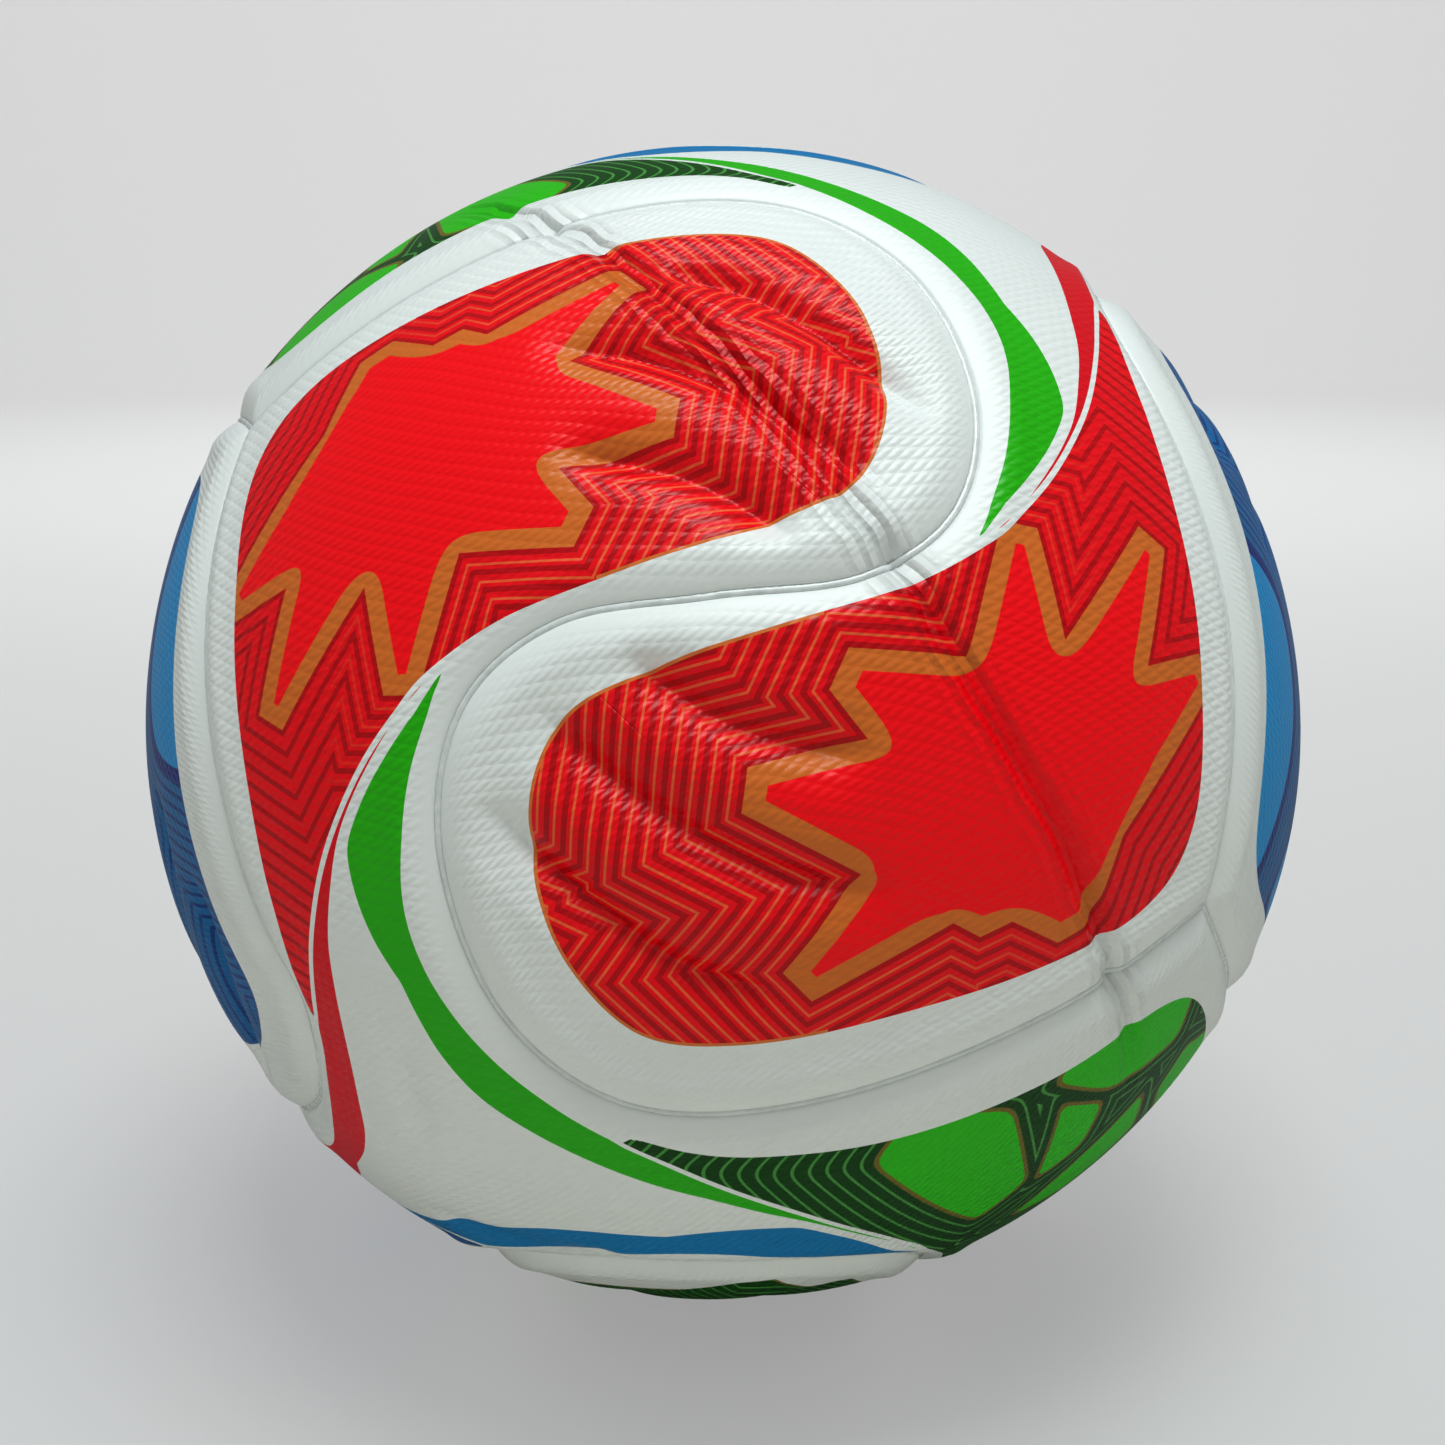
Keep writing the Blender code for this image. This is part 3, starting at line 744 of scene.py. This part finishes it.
# margin is the white line in mm between a lobe and the band beside it
whiteCover = {"colour": "#ECF0EE", "shade": "#E6EAE8", "cloudScale": 38.0, "margin": 0.95}
printing = {
    # a lobe's direction from its tail to its round end, where along it the rim starts, in mm,
    # and where in each pitch the thin line lies
    "tailWay": (1.0, 0.55, 0.0), "rimFrom": -18.0, "thinPlace": 0.72,
    "red": {
        "patch": "#FF0012", "line": "#C0000E", "between": "#F20016", "outline": "#D9742C",
        "thin": "#F0683A", "rim": "#DE7C3C", "outlineWidth": 3.1, "pitch": 2.7,
        "lineShare": 0.32, "thinShare": 0.07, "thinFrom": -72, "thinTo": -30,
        "rimWidth": 0.5, "corner": 0.0, "notch": 7.0,
        "shapes": [
            [(-70, 6), (-70, -10), (-58, -20), (-44, -13), (-36, 5), (-40, 22), (-57, 22)],
            [(-47, 22), (-39, 3), (-19.3, 20), (-20, 22)],
            [(-42, 10), (-46, -11), (-23.7, -0.3), (-23.8, 2.2)],
            [(-52, -12), (-40, -7), (-35.6, -29.1), (-36.9, -29.7)],
            [(-64, -14), (-51, -14), (-56.4, -43.1), (-57.6, -43.1)],
            [(-70, 1), (-60, -17), (-74.8, -30.9), (-76.4, -30.1)],
            [(-55, 17), (-42, 17), (-37.5, 41.1), (-38.7, 41.5)],
            [(-70, -1), (-54, 18), (-70, 17.2), (-72.5, 14)],
        ],
    },
    "green": {
        "patch": "#2CC405", "line": "#4C9A44", "between": "#0E4C0B", "outline": "#7A6E24",
        "thin": "#4C9A44", "rim": "#8A7A3A", "outlineWidth": 0.8, "pitch": 2.4,
        "lineShare": 0.0, "thinShare": 0.10, "thinFrom": -190, "thinTo": -180,
        "rimWidth": 0.6, "corner": 4.0, "notch": 0.0,
        "shapes": [
            [(-70, -37), (-66, -56), (-54, -56), (-41, -22), (-52, -19)],
            [(-76, -30), (-92, -24), (-95, 2), (-80, 4), (-73, -12)],
            [(-71, -25), (-70, -13), (-59, -10), (-52, -16)],
            [(-68, 2), (-52, -7), (-38, -9), (-40, 5), (-54, 13)],
            [(-75, 12), (-66, 10), (-50, 26), (-53, 41), (-73, 31)],
        ],
    },
    "blue": {
        "patch": "#0094D6", "line": "#083E86", "between": "#0A6CAA", "outline": "#122A84",
        "thin": "#0E5FAE", "rim": "#2A5FA0", "outlineWidth": 2.2, "pitch": 2.3,
        "lineShare": 0.34, "thinShare": 0.0, "thinFrom": -90, "thinTo": -20,
        "rimWidth": 0.8, "corner": 10.0, "notch": 0.0,
        "shapes": [
            [(-96, 14), (-92, -8), (-62, 6), (-50, 24), (-56, 44), (-74, 34)],
            [(-82, -22), (-66, -16), (-44, -22), (-40, -40), (-58, -58), (-70, -44)],
            [(-46, 4), (-24, 2), (-14, 16), (-34, 18)],
        ],
    },
}
swooshColours = {"greenSwoosh": "#2BB80A", "redSwoosh": "#E2001A", "blueSwoosh": "#007EBA"}
# mm, and degrees for the turn; the rows of the grain, then the sharp part of the moulded
# hollows and of the crease
grain = {"rowPitch": 1.45, "dashPitch": 3.0, "offset": 0.5, "turn": 22, "slant": 0.42, "height": 0.11,
         "wobble": 3.0, "wobbleScale": 0.035, "sideFall": 2.4, "endFall": 3.4, "roundness": 0.3,
         "plain": 0.1, "plainTo": 1.5, "fullFrom": 5.5}
bumps = {"hollow": 0.55, "hollowWidth": 1.5, "hollowBottom": 0.3, "wrinkle": 0.75, "wrinklePitch": 2.5,
         "wrinkleWidth": 4.4, "wrinkleWander": 2.4, "wanderScale": 0.09}


def shapeGap(tree, place, shapes, corner, notch):
    # mm outside a union of straight-sided shapes, negative inside; corner rounds the shapes'
    # own corners and notch rounds the places where two shapes meet
    union = None
    for corners in shapes:
        area = sum(a[0] * b[1] - a[1] * b[0] for a, b in zip(corners, corners[1:] + corners[:1]))
        inner = None
        for start, end in zip(corners, corners[1:] + corners[:1]):
            length = math.hypot(end[0] - start[0], end[1] - start[1]) * math.copysign(1, area)
            x, y = (end[1] - start[1]) / length, (start[0] - end[0]) / length
            line = (x, y, -x * start[0] - y * start[1])
            side = addNode(tree, "VectorMath", [place, line], "Value", operation="DOT_PRODUCT")
            if inner is not None:
                side = addNode(tree, "Math", [inner, side, corner], operation="SMOOTH_MAX")
            inner = side
        if union is not None:
            inner = addNode(tree, "Math", [union, inner, notch], operation="SMOOTH_MIN")
        union = inner
    return union


def printedCover(name, look):
    # cast polyurethane film with a screen-printed pattern under a clear coat: semi-gloss,
    # with a fine pressed grain that breaks up its highlights
    material, tree, shader = newMaterial(name, Roughness=0.35, Specular_IOR_Level=0.30)
    edge = addNode(tree, "Attribute", output="Fac", attribute_name="lobeEdge")
    place = addNode(tree, "Attribute", output="Vector", attribute_name="lobePlace")
    patch = shapeGap(tree, place, look["shapes"], look["corner"], look["notch"])
    outer = shapeGap(tree, place, look["shapes"], look["corner"], 0.0)
    # echo lines outside the shapes: each pitch has one dark line and one thin pale line
    outside = addNode(tree, "Math", [outer, look["outlineWidth"]], operation="SUBTRACT")
    wave = addNode(tree, "Math", [outside, look["pitch"]], operation="DIVIDE")
    wave = addNode(tree, "Math", [wave], operation="FRACT")
    isLine = addNode(tree, "Math", [wave, look["lineShare"]], operation="LESS_THAN")
    # the pale lines fade out towards the lobe's tail
    along = addNode(tree, "VectorMath", [place, printing["tailWay"]], "Value", operation="DOT_PRODUCT")
    fade = addNode(tree, "MapRange", [along, look["thinFrom"], look["thinTo"]])
    isThin = addNode(tree, "Math", [wave, printing["thinPlace"], look["thinShare"]], operation="COMPARE")
    isThin = addNode(tree, "Math", [fade, isThin], operation="MULTIPLY")
    isOutline = addNode(tree, "Math", [outside, 0.0], operation="LESS_THAN")
    isPatch = addNode(tree, "Math", [patch, 0.0], operation="LESS_THAN")
    # a fine rim, at the lobe's round end only
    isRound = addNode(tree, "Math", [along, printing["rimFrom"]], operation="GREATER_THAN")
    isRim = addNode(tree, "Math", [edge, -look["rimWidth"]], operation="GREATER_THAN")
    isRim = addNode(tree, "Math", [isRound, isRim], operation="MULTIPLY")
    body = colour(look["between"])
    for mask, part in ((isLine, "line"), (isThin, "thin"), (isOutline, "outline"), (isPatch, "patch"),
                       (isRim, "rim")):
        body = addNode(tree, "Mix", {0: mask, 6: body, 7: colour(look[part])}, 2, data_type="RGBA")
    # the white around the lobes is a little uneven, and the coloured bands lie on it
    cloud = addNode(tree, "TexCoord", output="Object")
    tone = addNode(tree, "TexNoise", {0: cloud, "Scale": whiteCover["cloudScale"], "Detail": 3.0})
    whites = {0: tone, 6: colour(whiteCover["shade"]), 7: colour(whiteCover["colour"])}
    surface = addNode(tree, "Mix", whites, 2, data_type="RGBA")
    besideLobe = addNode(tree, "Math", [edge, whiteCover["margin"]], operation="GREATER_THAN")
    for band, code in swooshColours.items():
        isBand = addNode(tree, "Attribute", output="Fac", attribute_name=band)
        isBand = addNode(tree, "Math", [isBand, 0.0], operation="LESS_THAN")
        isBand = addNode(tree, "Math", [besideLobe, isBand], operation="MULTIPLY")
        surface = addNode(tree, "Mix", {0: isBand, 6: surface, 7: colour(code)}, 2, data_type="RGBA")
    isLobe = addNode(tree, "Math", [edge, 0.0], operation="LESS_THAN")
    surface = addNode(tree, "Mix", {0: isLobe, 6: surface, 7: body}, 2, data_type="RGBA")
    tree.links.new(surface, shader.inputs["Base Color"])
    tree.links.new(pressedGrain(tree), shader.inputs["Normal"])
    return material


def pressedGrain(tree):
    # rows of short slanted dashes pressed into the film, in mm
    place = addNode(tree, "Attribute", output="Vector", attribute_name="panelPlace")
    wobble = addNode(tree, "TexNoise", {0: place, "Scale": grain["wobbleScale"], "Detail": 1.0})
    turned = addNode(tree, "VectorRotate", {"Vector": place, "Angle": math.radians(grain["turn"])})
    split = addNode(tree, "SeparateXYZ", [turned])
    rows = addNode(tree, "Math", [split.node.outputs[1], grain["rowPitch"]], operation="DIVIDE")
    rows = addNode(tree, "Math", [wobble, grain["wobble"], rows], operation="MULTIPLY_ADD")
    shift = addNode(tree, "Math", [rows], operation="FLOOR")
    inRow = addNode(tree, "Math", [rows], operation="FRACT")
    dashes = addNode(tree, "Math", [split, grain["dashPitch"]], operation="DIVIDE")
    dashes = addNode(tree, "Math", [shift, grain["offset"], dashes], operation="MULTIPLY_ADD")
    dashes = addNode(tree, "Math", [inRow, grain["slant"], dashes], operation="MULTIPLY_ADD")
    # a dash is flat on top and falls softly to its ends and sides
    bars = []
    for count, steepness in ((rows, grain["sideFall"]), (dashes, grain["endFall"])):
        bar = addNode(tree, "Math", [count, 0.5], operation="PINGPONG")
        bar = addNode(tree, "Math", [bar, steepness], operation="MULTIPLY")
        bars.append(addNode(tree, "Math", [bar, 1.0, grain["roundness"]], operation="SMOOTH_MIN"))
    height = addNode(tree, "Math", bars, operation="MULTIPLY")
    crease = addNode(tree, "Attribute", output="Vector", attribute_name="crease")
    crease = addNode(tree, "SeparateXYZ", [crease])
    fromSeam = crease.node.outputs[2]
    strength = addNode(tree, "MapRange", [fromSeam, grain["plainTo"], grain["fullFrom"],
                                          grain["plain"] * grain["height"], grain["height"]])
    height = addNode(tree, "Math", [height, strength], operation="MULTIPLY")
    # the sharp bottom line of the hollows
    hollow = addNode(tree, "Attribute", output="Vector", attribute_name="hollow")
    hollow = addNode(tree, "SeparateXYZ", [hollow])
    fall = addNode(tree, "Math", [hollow, hollow, bumps["hollowBottom"] ** 2], operation="MULTIPLY_ADD")
    for step, value in (("SQRT", 0), ("MULTIPLY", -1 / bumps["hollowWidth"]), ("EXPONENT", 0),
                        ("MULTIPLY", hollow.node.outputs[1])):
        fall = addNode(tree, "Math", [fall, value], operation=step)
    height = addNode(tree, "Math", [fall, -bumps["hollow"], height], operation="MULTIPLY_ADD")
    # the crease's parallel wrinkles
    spread = crease
    for step, value in (("DIVIDE", bumps["wrinkleWidth"]), ("POWER", 2.0), ("MULTIPLY", -1.0),
                        ("EXPONENT", 0), ("MULTIPLY", crease.node.outputs[1])):
        spread = addNode(tree, "Math", [spread, value], operation=step)
    bend = addNode(tree, "TexNoise", {0: place, "Scale": bumps["wanderScale"], "Detail": 1.0})
    wrinkle = addNode(tree, "Math", [bend, bumps["wrinkleWander"], crease], operation="MULTIPLY_ADD")
    wrinkle = addNode(tree, "Math", [wrinkle, bumps["wrinklePitch"] / 2], operation="PINGPONG")
    wrinkle = addNode(tree, "Math", [wrinkle, spread], operation="MULTIPLY")
    height = addNode(tree, "Math", [wrinkle, bumps["wrinkle"], height], operation="MULTIPLY_ADD")
    return addNode(tree, "Bump", {"Height": height, "Distance": 0.001, "Strength": 1.0})


def backing():
    # the woven textile that the film is cast on
    material, tree, shader = newMaterial("coverBacking", Roughness=0.9)
    place = addNode(tree, "TexCoord", output="Object")
    weave = addNode(tree, "TexWave", {0: place, "Scale": 380.0, "Distortion": 1.0}, 1)
    tone = addNode(tree, "Mix", {0: weave, 6: colour("#B9B4A8"), 7: colour("#D8D4CA")}, 2, data_type="RGBA")
    tree.links.new(tone, shader.inputs["Base Color"])
    return material


cloth = backing()
panelMaterials = [
    printedCover("redPrintedPolyurethane", printing["red"]),
    printedCover("bluePrintedPolyurethane", printing["blue"]),
    printedCover("greenPrintedPolyurethane", printing["green"]),
    cloth,
    cloth,
    cloth,
]


def foamMaterial():
    # closed-cell foam: pale, dull, with fine cells, under a millimetre across
    return mottled("closedCellFoam", "TexVoronoi", {"Scale": 1400.0}, "#D9D6CC", "#F1EFE8", 0.0002,
                   Roughness=0.95)


def makePanels(layer, name, node, materials):
    firstPanel, outline = modelPanel(layer)
    for material in materials:
        firstPanel.data.materials.append(material)
    if layer is cover:
        markPrint(firstPanel, outline)
    valve = valveAxis()
    for number, turn in enumerate(halfTurns, 1):
        print(name, number)
        deselectAll()
        panel = firstPanel.copy()
        panel.data = firstPanel.data.copy()
        bpy.context.scene.collection.objects.link(panel)
        own = (valve @ ballTurn) @ turn
        if own @ panelCentre > 0.99:
            openValveHole(panel, own, layer["holeRows"])
            if layer is cover:
                markPrint(panel, outline)
        directions = placePanel(panel, turn, layer)
        thicken(panel, layer["wall"])
        if "inside" in layer:
            points = coordinates(panel.data)
            inner = directions * (ball["radius"] - layer["inside"] / 1000) + centre
            points[len(directions):2 * len(directions)] = inner
            setCoordinates(panel.data, points)
        declare(panel, f"{name}{number}", f"{node}_{number}")
    bpy.data.objects.remove(firstPanel)


makePanels(cover, "coverPanel", "cover_panel", panelMaterials)
makePanels(foam, "foamPanel", "foam_panel", [foamMaterial()])


# seam beads

bead = {"radius": 0.00062, "depth": 0.0019, "points": 900, "lump": 0.05, "seed": 11}


def makeBeads():
    print("seam beads")
    # hot-melt adhesive squeezed out along the seam: pale, glossy and lumpy
    material = mottled("hotMeltAdhesive", "TexNoise", {"Scale": 420.0, "Detail": 2.0}, "#C9CFCE", "#EFF3F2",
                       0.0002, Roughness=0.16, IOR=1.48)
    line = seamLine()
    thirds = [np.eye(3), thirdTurn, thirdTurn @ thirdTurn]
    turns = thirds + [halfTurns[2], halfTurns[3] @ thirdTurn, halfTurns[1] @ thirdTurn @ thirdTurn]
    draw = np.random.default_rng(bead["seed"])
    for number, turn in enumerate(turns, 1):
        inBall = unit(evenSteps(line @ turn.T, bead["points"]))
        foldAside, foldShare = foldPlace(inBall, np.zeros(len(inBall)))
        low = unevenRelief(inBall) - fold["depth"] * foldShare * np.exp(-((foldAside / fold["width"]) ** 2))
        points = inBall @ ballTurn.T * (ball["radius"] - bead["depth"] + low / 1000)[:, None] + centre
        points[:, 2] = np.maximum(points[:, 2], bead["radius"] + footBlend)
        curve = bpy.data.curves.new(f"seamBead{number}", "CURVE")
        curve.dimensions = "3D"
        curve.bevel_depth = bead["radius"]
        curve.bevel_resolution = 3
        curve.use_fill_caps = True
        spline = curve.splines.new("POLY")
        spline.points.add(len(points) - 1)
        spline.points.foreach_set("co", np.c_[points, np.ones(len(points))].ravel())
        spline.points.foreach_set("radius", 1 + bead["lump"] * draw.normal(size=len(points)).clip(-1, 1))
        obj = bpy.data.objects.new(curve.name, curve)
        bpy.context.scene.collection.objects.link(obj)
        makeActive(obj)
        bpy.ops.object.convert(target="MESH")
        obj = bpy.context.object
        editSelected(obj, "vertices", np.ones(len(obj.data.vertices), bool),
                     (bpy.ops.mesh.remove_doubles, {"threshold": 1e-6}))
        bpy.ops.object.shade_smooth()
        obj.data.materials.clear()
        obj.data.materials.append(material)
        declare(obj, f"seamBead{number}", f"seam_bead_{number}")


makeBeads()


# the valve

# millimetres, each profile as (radius, how far below the ball's surface)
valveShapes = {
    "steps": 96,
    "housing": [(2.2, 11.0), (2.2, 0.75), (2.3, 0.56), (2.5, 0.5), (3.0, 0.5), (3.3, 0.62), (3.4, 0.9),
                (3.4, 8.0), (4.2, 8.05), (11.2, 8.6), (12.2, 8.85), (12.5, 9.3), (12.3, 9.8),
                (11.4, 10.1), (4.3, 9.65), (3.5, 10.2), (3.4, 12.0), (3.0, 12.7), (2.2, 13.0)],
    "core": [(0.9, 6.8), (0.9, 1.5), (1.0, 1.1), (1.3, 0.8), (1.65, 0.8), (1.85, 0.9), (1.9, 1.15),
             (1.9, 10.0), (1.7, 10.5), (1.3, 10.6)],
}


def rubber(name, dark, light, roughness):
    # moulded rubber: one colour with a faint bloom, and a slightly uneven skin
    return mottled(name, "TexNoise", {"Scale": 220.0, "Detail": 4.0}, dark, light, 0.0001,
                   Roughness=roughness)


def makeTurned(name, node, profile, material):
    # a ring extruded row by row along its profile, and closed at both ends
    deselectAll()
    bpy.ops.mesh.primitive_circle_add(vertices=valveShapes["steps"], radius=profile[0][0] / 1000)
    piece = bpy.context.object
    mesh = piece.data
    ring = coordinates(mesh) / (profile[0][0] / 1000)
    low = np.array([0, 0, ball["radius"] - profile[0][1] / 1000])
    setCoordinates(mesh, ring * profile[0][0] / 1000 + low)
    last = np.ones(len(mesh.edges), bool)
    for radius, below in profile[1:]:
        editSelected(piece, "edges", last, (bpy.ops.mesh.extrude_edges_indiv, {}))
        chosen = chosenVertices(mesh)
        last = np.zeros(len(mesh.edges), bool)
        mesh.edges.foreach_get("select", last)
        points = coordinates(mesh)
        side = unit(points[chosen] * (1, 1, 0))
        points[chosen] = side * radius / 1000 + np.array([0, 0, ball["radius"] - below / 1000])
        setCoordinates(mesh, points)
    editSelected(piece, "edges", last, (bpy.ops.mesh.edge_face_add, {}))
    editSelected(piece, "edges", openEdges(mesh), (bpy.ops.mesh.edge_face_add, {}))
    turn = np.array(Vector(valveAxis()).to_track_quat("Z", "Y").to_matrix())
    setCoordinates(mesh, coordinates(mesh) @ turn.T + centre)
    editSelected(piece, "polygons", np.ones(len(mesh.polygons), bool),
                 (bpy.ops.mesh.normals_make_consistent, {"inside": False}))
    bpy.ops.object.shade_smooth_by_angle(angle=math.radians(40))
    mesh.materials.append(material)
    declare(piece, name, node)


print("valve")
makeTurned("valveHousing", "valve_housing", valveShapes["housing"],
           rubber("valveRubber", "#C9CCCB", "#DEE0DF", 0.55))
makeTurned("valveCore", "valve_core", valveShapes["core"],
           rubber("valveCoreRubber", "#3A3B3C", "#4A4B4D", 0.5))


# the inside, which keeps its solids from the frame


def textile():
    # glued polyester cloth of the carcass: an over-under weave in off-white
    material, tree, shader = newMaterial("polyesterCloth", Roughness=0.88)
    place = addNode(tree, "TexCoord", output="Object")
    warp = addNode(tree, "TexWave", {0: place, "Scale": 260.0}, 1, bands_direction="X")
    weft = addNode(tree, "TexWave", {0: place, "Scale": 260.0}, 1, bands_direction="Z")
    weave = addNode(tree, "Math", [warp, weft], operation="MULTIPLY")
    tone = addNode(tree, "Mix", {0: weave, 6: colour("#B4AE9E"), 7: colour("#DAD5C8")}, 2,
                   data_type="RGBA")
    bump = addNode(tree, "Bump", {"Height": weave, "Distance": 0.0002})
    tree.links.new(tone, shader.inputs["Base Color"])
    tree.links.new(bump, shader.inputs["Normal"])
    return material


def paintInside():
    print("inside")
    finishes = {
        "carcass_piece": (textile(), "carcass_textile"),
        "bladder": (rubber("butylRubber", "#191A1C", "#26272A", 0.45), "bladder_rubber"),
        "balance_patch": (rubber("patchRubber", "#2B2C2E", "#38393C", 0.6), "patch_rubber"),
    }
    for node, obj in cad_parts.items():
        for start, (finish, slot) in finishes.items():
            if node.startswith(start):
                obj.data.materials.clear()
                obj.data.materials.append(finish)


paintInside()


# the floor, the light and the camera

studio = {
    "floorRadius": 2.4, "wallRadius": 1.1,
    "key": (0.06, -0.22, 0.92), "keySize": 0.5, "keyWatts": 6.3,
    "wallWatts": 44.0, "zenith": 0.42, "horizon": 0.55, "mirrored": 0.3, "gamma": 0.9,
    "paper": "#E6E2D8", "fibre": "#EAE6DC", "paperMirrored": "#8C8C8C", "paperSeen": "#989898",
    "paperGlow": 0.36, "keyTint": "#F4FCFB", "skyTint": "#F6FBFF", "wallLamp": (0, 1.0, 1.6),
    "wallLampSize": (1.6, 1.0), "wallLampAim": (0, 3.0, 0.2), "wallSteps": 12,
    "cameraDistance": 0.348, "cameraElevation": 15, "lens": 43.2,
}


def makeStage():
    print("stage")
    deselectAll()
    bpy.ops.mesh.primitive_circle_add(vertices=128, radius=studio["floorRadius"], fill_type="NGON")
    floor = bpy.context.object
    floor.name = "studioFloor"
    mesh = floor.data
    # the rim is extruded up in an arc, so that floor and wall have no line between them
    for step in range(1, studio["wallSteps"] + 1):
        angle = math.radians(90) * step / studio["wallSteps"]
        chosen = extrudeOpen(floor)
        points = coordinates(mesh)
        side = unit(points[chosen] * (1, 1, 0))
        out = studio["floorRadius"] + studio["wallRadius"] * math.sin(angle)
        up = studio["wallRadius"] * (1 - math.cos(angle))
        points[chosen] = side * out + np.array([0, 0, up])
        setCoordinates(mesh, points)
    makeActive(floor)
    bpy.ops.object.shade_smooth()
    material, tree, shader = newMaterial("matBackdropPaper", Roughness=0.85)
    place = addNode(tree, "TexCoord", output="Object")
    fibres = addNode(tree, "TexNoise", {0: place, "Scale": 90.0})
    tone = addNode(tree, "Mix", {0: fibres, 6: colour(studio["paper"]), 7: colour(studio["fibre"])}, 2,
                   data_type="RGBA")
    # reflections see a darker paper, which keeps the printed colours strong
    mirrored = addNode(tree, "LightPath", output="Is Glossy Ray")
    tone = addNode(tree, "Mix", {0: mirrored, 6: tone, 7: colour(studio["paperMirrored"])}, 2,
                   data_type="RGBA")
    # the camera sees a darker paper with a glow of its own, which lights nothing else and keeps
    # the shadow pale
    seen = addNode(tree, "LightPath", output="Is Camera Ray")
    tone = addNode(tree, "Mix", {0: seen, 6: tone, 7: colour(studio["paperSeen"])}, 2, data_type="RGBA")
    glow = addNode(tree, "Math", {0: seen, 1: studio["paperGlow"]}, operation="MULTIPLY")
    tree.links.new(tone, shader.inputs["Base Color"])
    tree.links.new(glow, shader.inputs["Emission Strength"])
    shader.inputs["Emission Color"].default_value = colour("#FFFFFF")
    mesh.materials.append(material)


def addSoftbox(name, place, size, watts, tint, target=Vector(centre)):
    lamp = bpy.data.lights.new(name, "AREA")
    lamp.shape = "RECTANGLE"
    lamp.size, lamp.size_y = size
    lamp.energy = watts
    lamp.color = colour(tint)[:3]
    obj = bpy.data.objects.new(name, lamp)
    bpy.context.scene.collection.objects.link(obj)
    obj.location = place
    obj.rotation_euler = (target - Vector(place)).to_track_quat("-Z", "Y").to_euler()


def makeLight():
    middle = Vector(centre)
    addSoftbox("keySoftbox", middle + Vector(studio["key"]),
               (studio["keySize"], studio["keySize"] * 0.8), studio["keyWatts"], studio["keyTint"])
    addSoftbox("wallSoftbox", Vector(studio["wallLamp"]), studio["wallLampSize"], studio["wallWatts"],
               "#FFFFFF", Vector(studio["wallLampAim"]))
    world = bpy.data.worlds.new("softSky")
    bpy.context.scene.world = world
    world.use_nodes = True
    tree = world.node_tree
    upward = addNode(tree, "TexCoord", output="Generated")
    upward = addNode(tree, "SeparateXYZ", [upward], 2)
    strength = addNode(tree, "MapRange", {
        0: upward, 3: studio["horizon"], 4: studio["zenith"]}, interpolation_type="SMOOTHSTEP")
    mirrored = addNode(tree, "LightPath", output="Is Glossy Ray")
    mirrored = addNode(tree, "MapRange", [mirrored, 0.0, 1.0, 1.0, studio["mirrored"]])
    strength = addNode(tree, "Math", [strength, mirrored], operation="MULTIPLY")
    shade = tree.nodes["Background"]
    shade.inputs["Color"].default_value = colour(studio["skyTint"])
    tree.links.new(strength, shade.inputs["Strength"])
    bpy.context.scene.view_settings.view_transform = "Standard"
    bpy.context.scene.view_settings.gamma = studio["gamma"]


def makeCamera():
    lens = bpy.data.cameras.new("camera")
    lens.lens = studio["lens"]
    lens.sensor_width = 36
    lens.clip_start = 0.01
    camera = bpy.data.objects.new("camera", lens)
    bpy.context.scene.collection.objects.link(camera)
    tilt = math.radians(studio["cameraElevation"])
    back = Vector((0, -math.cos(tilt), math.sin(tilt)))
    camera.location = Vector(centre) + back * studio["cameraDistance"]
    camera.rotation_euler = back.to_track_quat("Z", "Y").to_euler()
    bpy.context.scene.camera = camera


makeStage()
makeLight()
makeCamera()
